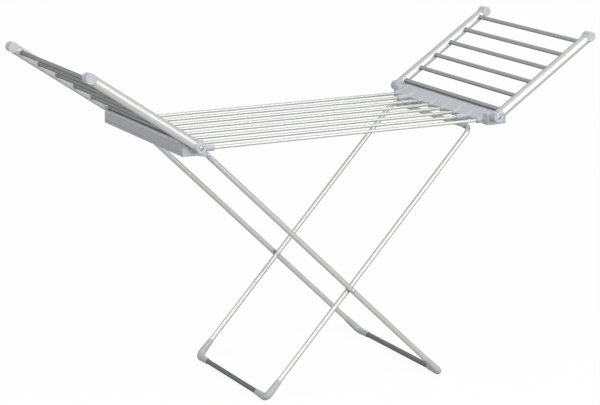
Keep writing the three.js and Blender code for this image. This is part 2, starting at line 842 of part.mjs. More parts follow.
function addDeck(parent) {
  const left = sideGroup(parent, false);
  const right = sideGroup(parent, true);
  named(left, 'left_housing_cover', housingCover(false), light_plastic);
  named(left, 'left_housing_base', housingBase(false, ...legEars()), grey_plastic);
  named(right, 'right_housing_cover', rightHousingCover(), light_plastic);
  named(right, 'right_housing_base', housingBase(true, ...legCatches()), grey_plastic);
  addHingeScrews(left, 'left', false);
  addHingeScrews(right, 'right', true);

  const railHalf = hinge_span / 2 - rail_end_inset;
  const [railStart, railEnd] = [at(-railHalf, 0, 0), at(railHalf, 0, 0)];
  railIndices.forEach((index) => {
    const rail = pipe(railStart, railEnd, rail_radius, rail_radius - rail_wall, rail_sides);
    named(parent, `rail_${index + 1}`, rail, silver_tube)
      .position.set(0, railY(index), hinge_height - rail_drop);
  });
  named(parent, 'deck_heating_cable', deckCable(), cable_sheath);

  const pin = legPin();
  named(left, 'near_leg_pin', pin, steel);
  named(left, 'far_leg_pin', mirrored(pin), steel);
  named(right, 'switch_bezel', switchBezel(), dark_plastic);
  named(right, 'power_rocker', powerRocker(), rocker_plastic)
    .position.set(housing_reach - rocker_pivot_depth, switch_y, -switch_drop);
}

// Legs, in the deck's axes: ends of the two frames seen from the side
const outer_hinge = at(leg_hinge_inset - hinge_span / 2, 0, hinge_height - leg_hinge_drop);
const outer_foot = at(outer_foot_reach, 0, foot_height);
const inner_top = at(hinge_span / 2 - catch_inset, 0, hinge_height - catch_drop);
const inner_foot = at(-inner_foot_reach, 0, foot_height);
const outer_down = outer_foot.clone().sub(outer_hinge).normalize();
const inner_up = inner_top.clone().sub(inner_foot).normalize();
const inward = at(0, -1, 0);

// Where the two frames cross, along the outer leg from its hinge.
function crossing() {
  const gap = inner_foot.clone().sub(outer_hinge);
  const spread = outer_down.x * inner_up.z - outer_down.z * inner_up.x;
  return along(outer_hinge, outer_down, (gap.x * inner_up.z - gap.z * inner_up.x) / spread);
}

const pivot = crossing();
const onSide = (point, y) => at(point.x, y, point.z);

function pivotHole() {
  return bar(
    onSide(pivot, inner_leg_y - inner_leg_diameter), onSide(pivot, outer_leg_y + outer_leg_diameter),
    rivet_diameter / 2 + clearance, small_sides,
  );
}

function outerLeg() {
  const top = onSide(outer_hinge, outer_leg_y);
  const bottom = onSide(outer_foot, outer_leg_y);
  const from = along(top, outer_down, neck_length + clearance);
  const to = along(bottom, outer_down, -foot_bend - foot_stop);
  const tube = pipe(from, to, outer_leg_radius, outer_leg_radius - leg_wall, leg_sides);
  return cut(tube, pivotHole());
}

function legEye() {
  const top = onSide(outer_hinge, outer_leg_y);
  const low = onSide(outer_hinge, outer_leg_y - eye_half);
  const high = onSide(outer_hinge, outer_leg_y + eye_half);
  const eye = bar(low, high, eye_diameter / 2, leg_sides);
  const neck = bar(
    along(top, outer_down, neck_start), along(top, outer_down, neck_length), outer_leg_radius, leg_sides,
  );
  const spigot = bar(
    along(top, outer_down, neck_start), along(top, outer_down, neck_length + leg_spigot_length),
    outer_leg_radius - leg_wall - clearance, leg_sides,
  );
  const hole = bar(
    along(low, inward, overrun), along(high, inward, -overrun),
    leg_pin_diameter / 2 + clearance, small_sides,
  );
  return cut(join(eye, neck, spigot), hole);
}

// An elbow that joins a leg to its floor bar and stands on the floor.
function foot(corner, upLeg, legRadius) {
  const reach = foot_bend + foot_sleeve;
  const solid = bentTube(
    [along(corner, upLeg, reach), corner, along(corner, inward, reach)],
    foot_bend, foot_radius, 0, leg_sides, bend_steps,
  );
  const sockets = [upLeg, inward].map((direction) => bar(
    along(corner, direction, foot_bend + foot_stop - clearance), along(corner, direction, reach + overrun),
    legRadius + clearance, leg_sides,
  ));
  const belowFloor = box(
    at(corner.x - reach, corner.y - 2 * reach, -foot_diameter), at(corner.x + reach, corner.y + reach, 0),
  );
  return cut(solid, ...sockets, belowFloor);
}

function floorBar(corner, y, radius) {
  const half = y - foot_bend - foot_stop;
  return pipe(onSide(corner, -half), onSide(corner, half), radius, radius - leg_wall, leg_sides);
}

// The rivet's shoulder keeps the two legs apart.
function pivotRivet() {
  const tail = inner_leg_y - inner_leg_radius - clearance - rivet_head_height;
  const length = outer_leg_y + outer_leg_radius + clearance + rivet_head_height - tail;
  const shoulderLow = inner_leg_y + inner_leg_radius + clearance - tail;
  const shoulderHigh = outer_leg_y - outer_leg_radius - clearance - tail;
  const head = rivet_head_diameter / 2;
  const radius = rivet_diameter / 2;
  const shoulder = rivet_shoulder_diameter / 2;
  const profile = [
    [0, 0],
    [head * rivet_crown_share, 0],
    [head, rivet_head_height],
    [radius, rivet_head_height],
    [radius, shoulderLow],
    [shoulder, shoulderLow],
    [shoulder, shoulderHigh],
    [radius, shoulderHigh],
    [radius, length - rivet_head_height],
    [head, length - rivet_head_height],
    [head * rivet_crown_share, length],
    [0, length],
  ];
  return turned(profile, onSide(pivot, tail), at(0, 1, 0), rung_sides);
}

function addOuterLegs(parent) {
  const elbow = foot(onSide(outer_foot, outer_leg_y), outer_down.clone().negate(), outer_leg_radius);
  const far = { leg: outerLeg(), leg_eye: legEye(), foot: elbow, pivot_rivet: pivotRivet() };
  const materials = { leg: silver_tube, leg_eye: light_plastic, foot: light_plastic, pivot_rivet: steel };
  Object.entries(far).forEach(([piece, geometry]) => {
    named(parent, `outer_near_${piece}`, mirrored(geometry), materials[piece]);
    named(parent, `outer_far_${piece}`, geometry, materials[piece]);
  });
  named(parent, 'outer_floor_bar', floorBar(outer_foot, outer_leg_y, outer_leg_radius), dark_tube);
}

function frameCollar() {
  const end = inner_leg_y - inner_bend;
  return bar(
    onSide(inner_top, end - frame_collar_length), onSide(inner_top, end),
    inner_leg_radius + frame_collar_wall, leg_sides,
  );
}

// Both inner legs and the cross tube under the right housing, bent from one tube.
function innerFrameTube() {
  const bottom = along(onSide(inner_foot, inner_leg_y), inner_up, foot_bend + foot_stop);
  const corners = [
    onSide(bottom, -inner_leg_y),
    onSide(inner_top, -inner_leg_y),
    onSide(inner_top, inner_leg_y),
    bottom,
  ];
  const bore = inner_leg_radius - leg_wall;
  const tube = bentTube(corners, inner_bend, inner_leg_radius, 0, leg_sides, bend_steps);
  const collar = frameCollar();
  const hollow = bentTube(corners, inner_bend, bore, 0, leg_sides, bend_steps);
  const mouth = bar(bottom, along(bottom, inner_up, -overrun), bore, leg_sides);
  const hole = pivotHole();
  const solid = join(tube, collar, mirrored(collar));
  return cut(solid, hollow, mouth, mirrored(mouth), hole, mirrored(hole));
}

function addInnerLegs(parent) {
  named(parent, 'inner_frame_tube', innerFrameTube(), silver_tube);
  const elbow = foot(onSide(inner_foot, inner_leg_y), inner_up, inner_leg_radius);
  named(parent, 'inner_near_foot', mirrored(elbow), light_plastic);
  named(parent, 'inner_far_foot', elbow, light_plastic);
  named(parent, 'inner_floor_bar', floorBar(inner_foot, inner_leg_y, inner_leg_radius), dark_tube);
}

const airer = new THREE.Group();
addDeck(airer);
addWing(airer, 'right_wing', true);
addWing(airer, 'left_wing', false);
addOuterLegs(airer);
addInnerLegs(airer);

export default airer;
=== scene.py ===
# Looks of a folding heated clothes airer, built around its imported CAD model.
# Metres, in the CAD's frame: +X along the deck, the near side at -Y, the floor at Z = 0.

import json
import math

import bmesh
import bpy
from mathutils import Matrix, Vector


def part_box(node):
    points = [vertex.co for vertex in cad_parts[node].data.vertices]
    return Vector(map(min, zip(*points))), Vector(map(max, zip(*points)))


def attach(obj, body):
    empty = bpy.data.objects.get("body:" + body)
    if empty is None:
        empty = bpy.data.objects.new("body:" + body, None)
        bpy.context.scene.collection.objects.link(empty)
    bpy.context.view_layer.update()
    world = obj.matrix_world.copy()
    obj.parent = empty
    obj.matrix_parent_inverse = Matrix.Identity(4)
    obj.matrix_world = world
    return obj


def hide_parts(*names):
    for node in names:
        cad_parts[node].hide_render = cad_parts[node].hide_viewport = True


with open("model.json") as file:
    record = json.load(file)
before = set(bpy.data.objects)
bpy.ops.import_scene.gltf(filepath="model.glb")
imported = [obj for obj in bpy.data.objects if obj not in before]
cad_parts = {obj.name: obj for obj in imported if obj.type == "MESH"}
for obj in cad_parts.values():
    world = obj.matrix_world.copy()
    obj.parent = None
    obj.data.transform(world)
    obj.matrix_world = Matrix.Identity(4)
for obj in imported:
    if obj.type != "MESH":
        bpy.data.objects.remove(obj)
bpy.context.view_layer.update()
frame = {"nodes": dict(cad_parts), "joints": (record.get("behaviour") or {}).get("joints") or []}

SIDES = {"right": 1, "left": -1}
ENDS = {"far": 1, "near": -1}
JOINTS = {joint["name"]: joint for joint in frame["joints"]}
X, Y, Z = Vector((1, 0, 0)), Vector((0, 1, 0)), Vector((0, 0, 1))

# Fits
CLEARANCE = 0.0003
OVERRUN = 0.002  # of a cutting shape past the face that it cuts
WELD = 1e-6

# Wing frames
WING_RISE = math.radians(34)
WING_LENGTH = 0.3488  # hinge axis to the centre of a tip cap
WING_HALF = 0.2585  # middle plane to the axis of a side tube
SIDE_TUBE_RADIUS = 0.0133
SIDE_TUBE_WALL = 0.0014
RUNG_RADIUS = 0.0057
RUNG_WALL = 0.0009
RUNG_COUNT = 6
RUNG_INSERTION = 0.004
FERRULE_WALL = 0.0012
FERRULE_LENGTH = 0.004

# Knuckles and tip caps
DISC_RADIUS = 0.0139  # of a knuckle
CAP_RADIUS = 0.0136  # of a tip cap
DISC_PROUD = 0.0006  # of the disc past the side tube
COLLAR_LENGTH = 0.005  # of a knuckle, between its disc and the side tube
DISH_DEPTH = 0.0007
RING_RADIUS = 0.0081  # of the raised ring in the dish
RING_HALF = 0.0007
RING_RISE = DISH_DEPTH / 2
DISH_RADIUS = 0.0100
RIM_RADIUS = 0.0113
SCREW_RADIUS = 0.003
SCREW_HEAD_RADIUS = 0.0055
SCREW_HEAD_HEIGHT = 0.0032
SCREW_CROWN_DEPTH = SCREW_HEAD_HEIGHT / 4
SCREW_CROWN = [(0.6, 1 / 6), (0.88, 1 / 2)]  # shares of the head's radius and its crown's depth
SCREW_DEPTH = 0.016  # into the housing
SCREW_SLOT_HALF_LENGTH = 0.003
SCREW_SLOT_HALF_WIDTH = 0.0007
SCREW_SLOT_DEPTH = 0.0016

# Deck rails
RAIL_WALL = 0.0008

# End housings, from the wing hinge axis
HOUSING_REACH = 0.0388
HOUSING_DROP = 0.024
HOUSING_WALL = 0.0022
LIP_RADIUS = 0.004
SLOPE_REACH = 0.0098
NOSE_REACH = 0.028
NOSE_RISE = 0.0022
NOSE_HEIGHT = 0.0072
BLOCK_INSET = 0.0126
BLOCK_LENGTH = 0.0225
BLOCK_REACH = 0.0184  # toward the deck, clear of the ferrules that pass over
BLOCK_EDGE = 0.003
SOCKET_WALL = 0.0032
SOCKET_REACH = 0.0346
LONG_SOCKET_REACH = 0.0606
FAIRING_RISE = 0.0054  # of a finger over the slope, where it leaves its socket
FAIRING_HALF = 0.0115
FAIRING_DEPTH = 0.0075
FAIRING_STEPS = 12
MOUTH_ROUND = 0.0022
EDGE_ROUND = 0.0007
PILLAR_RADIUS = 0.004
PILLAR_BORE = 0.0017
PILLAR_REACH = 0.020
PILLAR_SHARES = (-0.6, 0, 0.6)  # along the housing's inner half length
SHELL_SCREW_HEAD_RADIUS = 0.0027
SHELL_SCREW_HEAD_HEIGHT = 0.0015
SHELL_SCREW_DOME = 0.6  # share of the head's height
SHELL_SCREW_RADIUS = 0.00145
SHELL_SCREW_LENGTH = 0.019
SHELL_SCREW_SINK = 0.0004
SHELL_SLOT_HALF_LENGTH = 0.0016
SHELL_SLOT_HALF_WIDTH = 0.0003
SHELL_SLOT_DEPTH = 0.0009

# Heating cables
CABLE_RADIUS = 0.0013
CABLE_BEND = 0.0065
CABLE_TURN_REACH = 0.002
CABLE_LEAD_REACH = 0.014
CABLE_LEAD_SPREAD = 0.005

# Power switch
SWITCH_SHARE = -0.45
SWITCH_DROP = 0.0048
BEZEL_LENGTH = 0.021
BEZEL_HEIGHT = 0.015
BEZEL_THICKNESS = 0.0015
BEZEL_CORNER = 0.002
BEZEL_EDGE = EDGE_ROUND * 0.6
SWITCH_BODY_LENGTH = 0.0186
SWITCH_BODY_HEIGHT = 0.0128
SWITCH_BODY_DEPTH = 0.013
SWITCH_WALL = 0.0011
ROCKER_RECESS_DEPTH = 0.010
ROCKER_PIVOT_DEPTH = 0.003
ROCKER_HALF = 0.0068
ROCKER_VALLEY = 0.0042
ROCKER_TIP = 0.006
ROCKER_HEEL = 0.004
ROCKER_HEEL_HALF = 0.003
ROCKER_SHOULDER = 0.0005
ROCKER_TILT = math.radians(12)
ROCKER_PIN_RADIUS = 0.0012
ROCKER_EDGE = EDGE_ROUND * 0.5

# Cord outlet
OUTLET_SHARE = -0.83
OUTLET_DROP = 0.0048
OUTLET_ROOT_RADIUS = 0.007
OUTLET_MOUTH_RADIUS = 0.006
OUTLET_BORE_RADIUS = 0.0027
OUTLET_LENGTH = 0.006

# Legs
LEG_WALL = 0.0012
OUTER_LEG_RADIUS = 0.007
INNER_LEG_RADIUS = 0.0065
LEG_HINGE_INSET = 0.0372  # from the wing hinge axis
LEG_HINGE_DROP = 0.0285
LEG_INSET = 0.0227  # outer legs, in from the end of a housing
CROSSING_GAP = 0.0049
OUTER_FOOT_REACH = 0.2978
INNER_FOOT_REACH = 0.2202
INNER_BEND = 0.024
FOOT_RADIUS = 0.0098
FOOT_FLAT = 0.0005
FOOT_BEND = 0.014
FOOT_SLEEVE = 0.042
FOOT_STOP = 0.002
FOOT_MOUTH_WALL = 0.0013
COLLAR_WIDTH = 0.008
COLLAR_WALL = 0.002
COLLAR_FIT = CLEARANCE / 3  # tighter than between pieces that move

# Leg hinge and catches
PIN_RADIUS = 0.0025
PIN_HEAD_RADIUS = 0.0045
PIN_HEAD_HEIGHT = 0.002
PIN_DOME = 0.8  # share of the head's height
EYE_RADIUS = 0.0065
NECK_START = 0.002
NECK_LENGTH = 0.025
SPIGOT_LENGTH = 0.025
EAR_RADIUS = 0.0061
EAR_THICKNESS = 0.0035
RIB_REACH = 0.013
RIB_DEPTH = 0.004
CATCH_INSET = 0.0447
CATCH_DROP = 0.0342
CATCH_SHARE = 0.55
CATCH_WIDTH = 0.026
CATCH_THICKNESS = 0.0045
CATCH_TONGUE = 0.005
CATCH_WRAP = 20  # degrees below level

# Pivot of the crossed legs
RIVET_RADIUS = 0.0025
RIVET_HEAD_RADIUS = 0.0055
RIVET_HEAD_HEIGHT = 0.0022
RIVET_DOME = 0.85  # share of the head's height
RIVET_SHOULDER_RADIUS = 0.0075

# Camera, fitted to the photograph
CAMERA_PLACE = (-2.6733, -4.9659, 1.8165)
CAMERA_YAW = math.radians(28.16)
CAMERA_PITCH = math.radians(-13.47)
CAMERA_ROLL = math.radians(0.33)
CAMERA_LENS = 129.56  # millimetres
CAMERA_SENSOR = 36

# Studio
WHITE = (1, 1, 1, 1)
AMBIENT = 0.34  # of the white background, as light on the object
LAMP_TARGET = 0.6  # height that the lamps face
LAMP_DISTANCE = 9
FLOOR_REACH = 20
FLOOR_TONE = 0.35
FLOOR_SEEN_TONE = 0.98
FLOOR_GLOW = 0.9

# Surfaces
NOISE_MIDDLE = (0.3, 0.7)  # the part of noise's range that it mostly takes
TONE_DETAIL = 3
GRAIN_DETAIL = 2
METAL_TONE_SCALE = 7
METAL_MARKS = (2600, 3, 1)  # marks in a metre, round a tube and along it
METAL_ROUGHNESS_SPREAD = 0.02
METAL_BUMP = (0.02, 0.00002)  # strength and depth
PLASTIC_TONE_SCALE = 11
PLASTIC_GRAIN_SCALE = 1800
PLASTIC_ROUGHNESS_SPREAD = 0.05
PLASTIC_GLOSS = 0.35
PLASTIC_BUMP = (0.06, 0.00003)
FLOOR_ROUGHNESS = 0.9

# Roundness
TUBE_SIDES = 48
SMALL_SIDES = 32
BEND_STEPS = 12
ARC_STEPS = 8
CORNER_STEPS = 4
DOME_STEPS = 6
EDGE_STEPS = 3  # of a rounded edge
CABLE_STEPS = 3
SHARP = math.radians(40)  # edges that turn more than this stay sharp
ROUNDED_FROM = math.radians(20)


# Materials
def new_material(name):
    material = bpy.data.materials.new(name)
    material.use_nodes = True
    tree = material.node_tree
    return material, tree, tree.nodes["Principled BSDF"]


def set_inputs(node, **values):
    for key, value in values.items():
        node.inputs[key.replace("_", " ")].default_value = value


def add_node(tree, kind, **values):
    node = tree.nodes.new(kind)
    set_inputs(node, **values)
    return node


def noise_on(tree, output, scale, detail, stretch=(1, 1, 1)):
    """Noise on the object's own coordinates or its UV map, stretched by a scale for each axis."""
    place = tree.nodes.new("ShaderNodeTexCoord")
    mapping = add_node(tree, "ShaderNodeMapping", Scale=stretch)
    tree.links.new(place.outputs[output], mapping.inputs["Vector"])
    noise = add_node(tree, "ShaderNodeTexNoise", Scale=scale, Detail=detail)
    tree.links.new(mapping.outputs["Vector"], noise.inputs["Vector"])
    return noise.outputs["Fac"]


def spread(tree, source, low, high, start=0.0, end=1.0):
    """A value that runs from low to high as the source runs from start to end."""
    ramp = add_node(tree, "ShaderNodeMapRange", From_Min=start, From_Max=end, To_Min=low, To_Max=high)
    tree.links.new(source, ramp.inputs["Value"])
    return ramp.outputs["Result"]


def tinted(tree, source, low, high):
    """A colour between two others, by the source."""
    mix = tree.nodes.new("ShaderNodeMix")
    mix.data_type = "RGBA"
    set_inputs(mix, A=(*low, 1), B=(*high, 1))
    tree.links.new(source, mix.inputs["Factor"])
    return mix.outputs["Result"]


def add_bump(tree, shader, source, strength, distance):
    bump = add_node(tree, "ShaderNodeBump", Strength=strength, Distance=distance)
    tree.links.new(source, bump.inputs["Height"])
    tree.links.new(bump.outputs["Normal"], shader.inputs["Normal"])


def surface(name, low, high, tone_scale, grain, roughness, roughness_spread, bump):
    """A material whose tone changes slightly and whose grain sets its roughness and bump."""
    material, tree, shader = new_material(name)
    tone = noise_on(tree, "Object", tone_scale, TONE_DETAIL)
    grain_value = noise_on(tree, *grain)
    tree.links.new(tinted(tree, tone, low, high), shader.inputs["Base Color"])
    rough = spread(tree, grain_value, roughness - roughness_spread, roughness + roughness_spread,
                   *NOISE_MIDDLE)
    tree.links.new(rough, shader.inputs["Roughness"])
    add_bump(tree, shader, grain_value, *bump)
    return material, shader


def metal(name, low, high, metallic, roughness, edge=0.0):
    """Drawn tube with fine marks along its length. Edge is how light it stays where it turns away."""
    marks = ("UV", 1, GRAIN_DETAIL, METAL_MARKS)
    material, shader = surface(name, low, high, METAL_TONE_SCALE, marks, roughness,
                               METAL_ROUGHNESS_SPREAD, METAL_BUMP)
    set_inputs(shader, Metallic=metallic, Specular_IOR_Level=0, Specular_Tint=(edge, edge, edge, 1))
    return material


def plastic(name, low, high, roughness):
    """Moulded plastic with a fine spark texture."""
    grain = ("Object", PLASTIC_GRAIN_SCALE, GRAIN_DETAIL)
    material, shader = surface(name, low, high, PLASTIC_TONE_SCALE, grain, roughness,
                               PLASTIC_ROUGHNESS_SPREAD, PLASTIC_BUMP)
    set_inputs(shader, Specular_IOR_Level=PLASTIC_GLOSS)
    return material


# Darkest and lightest tone, how metallic it is, roughness, and its edge if that isn't dark
METALS = {
    "satin_aluminium": ((0.53, 0.54, 0.53), (0.57, 0.58, 0.57), 0.5, 0.25),
    "silver_tube": ((0.49, 0.50, 0.49), (0.53, 0.54, 0.53), 0.5, 0.25),
    "grey_rung": ((0.37, 0.382, 0.377), (0.41, 0.422, 0.417), 0.6, 0.32),
    "dark_tube": ((0.18, 0.188, 0.182), (0.21, 0.218, 0.212), 0.35, 0.35),
    "steel": ((0.34, 0.35, 0.36), (0.42, 0.43, 0.44), 0.9, 0.42, 0.2),
}
# Darkest and lightest tone, and roughness
PLASTICS = {
    "light_plastic": ((0.47, 0.49, 0.52), (0.50, 0.52, 0.55), 0.5),
    "grey_plastic": ((0.43, 0.45, 0.48), (0.46, 0.48, 0.51), 0.55),
    "foot_plastic": ((0.415, 0.426, 0.433), (0.442, 0.452, 0.458), 0.5),
    "dark_plastic": ((0.04, 0.043, 0.047), (0.055, 0.058, 0.062), 0.5),
    "cable_sheath": ((0.62, 0.59, 0.54), (0.68, 0.65, 0.60), 0.6),
    "rocker_plastic": ((0.30, 0.025, 0.02), (0.34, 0.03, 0.025), 0.3),
}
MATERIALS = {
    **{name: metal(name, *values) for name, values in METALS.items()},
    **{name: plastic(name, *values) for name, values in PLASTICS.items()},
}


# Meshes
def facing(origin, direction):
    """A frame with its origin at a point and its Z axis in a direction."""
    turn = direction.to_track_quat("Z", "X").to_matrix().to_4x4()
    return Matrix.Translation(origin) @ turn


def round_angles(sides):
    return [2 * math.pi * side / sides for side in range(sides)]


def add_object(name, data):
    thing = bpy.data.objects.new(name, data)
    bpy.context.scene.collection.objects.link(thing)
    return thing


def evaluated_mesh(thing):
    """A new mesh of the object as it shows, with its modifier or its thickness."""
    graph = bpy.context.evaluated_depsgraph_get()
    return bpy.data.meshes.new_from_object(thing.evaluated_get(graph))


def to_object(name, body):
    mesh = bpy.data.meshes.new(name)
    bmesh.ops.recalc_face_normals(body, faces=body.faces)
    if body.calc_volume(signed=True) < 0:
        bmesh.ops.reverse_faces(body, faces=body.faces)
    body.to_mesh(mesh)
    body.free()
    return add_object(name, mesh)


def skin(name, rings, reaches, girth, is_loop):
    """Faces between rings of points. The UV map runs round and along the body, in metres."""
    body = bmesh.new()
    uv = body.loops.layers.uv.new("along")
    corners = [[body.verts.new(point) for point in ring] for ring in rings]
    sides = max(len(ring) for ring in rings)
    spans = list(zip(range(len(rings)), range(1, len(rings))))
    if is_loop:
        spans.append((len(rings) - 1, 0))
    for one, two in spans:
        first, second = corners[one], corners[two]
        for step in range(sides):
            after = (step + 1) % sides
            around, around_next = girth * step / sides, girth * (step + 1) / sides
            spots = {
                first[step % len(first)]: (around, reaches[one]),
                first[after % len(first)]: (around_next, reaches[one]),
                second[after % len(second)]: (around_next, reaches[two]),
                second[step % len(second)]: (around, reaches[two]),
            }
            face = body.faces.new(list(spots))
            for loop in face.loops:
                loop[uv].uv = spots[loop.vert]
    if not is_loop:
        for ring in (corners[0], corners[-1]):
            if len(ring) > 1:
                body.faces.new(ring)
    return to_object(name, body)


def turned(profile, placing, sides=TUBE_SIDES):
    """A body turned about Z from [radius, distance] pairs. With no pair on the axis it is a ring."""
    rings, reaches, reach = [], [], 0
    for index, (radius, distance) in enumerate(profile):
        rings.append([
            placing @ Vector((radius * math.cos(angle), radius * math.sin(angle), distance))
            for angle in round_angles(sides if radius > 0 else 1)
        ])
        if index > 0:
            reach += math.dist(profile[index - 1], profile[index])
        reaches.append(reach)
    girth = 2 * math.pi * max(radius for radius, distance in profile)
    return skin("turned", rings, reaches, girth, len(rings[0]) > 1 and len(rings[-1]) > 1)


def bar(start, end, radius, sides=TUBE_SIDES):
    length = (end - start).length
    profile = [(0, 0), (radius, 0), (radius, length), (0, length)]
    return turned(profile, facing(start, end - start), sides)


def tube(start, end, radius, wall, sides=TUBE_SIDES):
    """A pipe with its outer edges slightly rounded."""
    ease = wall / 3
    mouth = [(radius - wall, 0), (radius - ease, 0), (radius, ease)]
    profile = [*mouth, *flipped(mouth, (end - start).length)]
    return turned(profile, facing(start, end - start), sides)


def flipped(profile, length):
    """The same [radius, distance] pairs at the other end of a length."""
    return [(radius, length - distance) for radius, distance in reversed(profile)]


def arc(middle, radius, start, end, steps=ARC_STEPS):
    """Points of an arc, by angles in degrees."""
    x, y = middle
    angles = [math.radians(start + (end - start) * step / steps) for step in range(steps + 1)]
    return [(x + radius * math.cos(angle), y + radius * math.sin(angle)) for angle in angles]


def dome(radius, height):
    """[radius, depth] pairs of a quarter round, such as a rivet's head, from its crown to its edge."""
    angles = [math.radians(90 * step / DOME_STEPS) for step in range(DOME_STEPS + 1)]
    return [(radius * math.sin(angle), height * (1 - math.cos(angle))) for angle in angles]


def prism(outline, low, high, rounding=0.0):
    """An outline in X and Z with a thickness along Y, its sharp edges rounded."""
    body = bmesh.new()
    near = [body.verts.new((x, low, z)) for x, z in outline]
    far = [body.verts.new((x, high, z)) for x, z in outline]
    body.faces.new(near)
    body.faces.new(far)
    for index in range(len(outline)):
        after = (index + 1) % len(outline)
        body.faces.new((near[index], near[after], far[after], far[index]))
    if rounding > 0:
        bmesh.ops.recalc_face_normals(body, faces=body.faces)
        edges = [edge for edge in body.edges if edge.calc_face_angle() > ROUNDED_FROM]
        bmesh.ops.bevel(body, geom=edges, offset=rounding, segments=EDGE_STEPS, profile=0.5,
                        affect="EDGES", clamp_overlap=True)
    return to_object("prism", body)


def box(low, high):
    outline = [(low[0], low[2]), (high[0], low[2]), (high[0], high[2]), (low[0], high[2])]
    return prism(outline, low[1], high[1])


def combine(piece, operation, *tools):
    """Joins tools to a piece or cuts them from it."""
    for tool in tools:
        modifier = piece.modifiers.new("combine", "BOOLEAN")
        modifier.operation = operation
        modifier.solver = "MANIFOLD"
        modifier.object = tool
        mesh = evaluated_mesh(piece)
        piece.modifiers.clear()
        piece.data = mesh
        bpy.data.objects.remove(tool)
    return piece


def copy_of(piece):
    twin = piece.copy()
    twin.data = piece.data.copy()
    bpy.context.scene.collection.objects.link(twin)
    return twin


def moved(piece, placing):
    """The piece's own mesh, moved. A mirroring keeps its faces pointing out."""
    piece.data.transform(placing)
    if placing.determinant() < 0:
        piece.data.flip_normals()
    return piece


def path_through(corners, bend, steps=BEND_STEPS):
    """Places and headings along straight runs with rounded corners."""
    places = [(corners[0], (corners[1] - corners[0]).normalized())]
    for before, corner, after in zip(corners, corners[1:], corners[2:]):
        arrive = (corner - before).normalized()
        leave = (after - corner).normalized()
        turn = arrive.angle(leave)
        start = corner - arrive * bend * math.tan(turn / 2)
        inward = (leave - arrive * leave.dot(arrive)).normalized()
        for step in range(steps + 1):
            angle = turn * step / steps
            place = start + arrive * bend * math.sin(angle) + inward * bend * (1 - math.cos(angle))
            places.append((place, arrive * math.cos(angle) + inward * math.sin(angle)))
    places.append((corners[-1], (corners[-1] - corners[-2]).normalized()))
    return places


def swept(stations, side_axis, wall=0.0, sides=TUBE_SIDES):
    """A round bar or, with a wall, a pipe, through [place, heading, radius] stations in one plane."""
    inner = [(place, heading, radius - wall) for place, heading, radius in reversed(stations)]
    route = [*stations, *inner] if wall > 0 else stations
    rings, reaches, reach = [], [], 0
    for index, (place, heading, radius) in enumerate(route):
        across = side_axis.cross(heading).normalized()
        rings.append([
            place + across * radius * math.cos(angle) + side_axis * radius * math.sin(angle)
            for angle in round_angles(sides)
        ])
        if index > 0:
            reach += (place - route[index - 1][0]).length
        reaches.append(reach)
    return skin("swept", rings, reaches, 2 * math.pi * stations[0][2], wall > 0)


def make_cable(corners):
    """A round cable along a route of corners."""
    curve = bpy.data.curves.new("cable", "CURVE")
    curve.dimensions = "3D"
    curve.bevel_depth = CABLE_RADIUS
    curve.bevel_resolution = CABLE_STEPS
    curve.use_fill_caps = True
    places = path_through(corners, CABLE_BEND, ARC_STEPS)
    spline = curve.splines.new("POLY")
    spline.points.add(len(places) - 1)
    for point, (place, heading) in zip(spline.points, places):
        point.co = (*place, 1)
    route = add_object("cable", curve)
    mesh = evaluated_mesh(route)
    bpy.data.objects.remove(route)
    return add_object("cable", mesh)


def dress(piece, name, slot, body, *nodes, look=None):
    """Names a piece, shades its curves smooth, gives it a material and lets it ride and replace."""
    piece.name = name
    piece.data.name = name
    mesh = bmesh.new()
    mesh.from_mesh(piece.data)
    bmesh.ops.remove_doubles(mesh, verts=mesh.verts, dist=WELD)
    for face in mesh.faces:
        face.smooth = True
    for edge in mesh.edges:
        edge.smooth = len(edge.link_faces) == 2 and edge.calc_face_angle() < SHARP
    mesh.to_mesh(piece.data)
    mesh.free()
    weigh = piece.modifiers.new("even_shading", "WEIGHTED_NORMAL")
    weigh.keep_sharp = True
    piece.data.materials.clear()
    piece.data.materials.append(MATERIALS[look or slot])
    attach(piece, body)
    if nodes:
        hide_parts(*nodes)
    return piece


def centre(node):
    low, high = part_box(node)
    return (low + high) / 2


# Places worked out from the frame and the sizes above
HINGES = {side: Vector(JOINTS[f"{side}_wing_fold"]["pos_m"]) for side in SIDES}
RAIL_COUNT = sum(node.startswith("rail_") for node in frame["nodes"])
RAIL_Y = [centre(f"rail_{index + 1}").y for index in range(RAIL_COUNT)]
RAIL_DROP = HINGES["right"].z - centre("rail_1").z
RAIL_RADIUS = (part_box("rail_1")[1].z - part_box("rail_1")[0].z) / 2
HOUSING_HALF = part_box("right_housing_base")[1].y
INNER_HALF = HOUSING_HALF - BLOCK_LENGTH
DISC_OUTER = WING_HALF + SIDE_TUBE_RADIUS + DISC_PROUD
DISC_INNER = WING_HALF - SIDE_TUBE_RADIUS
FERRULE_RADIUS = RUNG_RADIUS + CLEARANCE + FERRULE_WALL
TUBE_INSET = DISC_RADIUS + COLLAR_LENGTH + CLEARANCE
TIP_INSET = DISC_RADIUS + CLEARANCE
END_RUNG_INSET = TUBE_INSET + FERRULE_RADIUS
RUNG_PITCH = (WING_LENGTH - 2 * END_RUNG_INSET) / (RUNG_COUNT - 1)
CREST = END_RUNG_INSET * math.sin(WING_RISE) - RUNG_RADIUS - CLEARANCE
BLOCK_TOP = END_RUNG_INSET * math.sin(WING_RISE) - FERRULE_RADIUS - CLEARANCE
NOSE_TOP = NOSE_RISE - RAIL_DROP
SLOPE = math.atan2(CREST - NOSE_TOP, SLOPE_REACH + NOSE_REACH)
SOCKET_RADIUS = RAIL_RADIUS + CLEARANCE + SOCKET_WALL
SWITCH_AXIS = Vector((HOUSING_REACH - ROCKER_PIVOT_DEPTH, SWITCH_SHARE * INNER_HALF, -SWITCH_DROP))
OUTER_LEG_Y = HOUSING_HALF - LEG_INSET
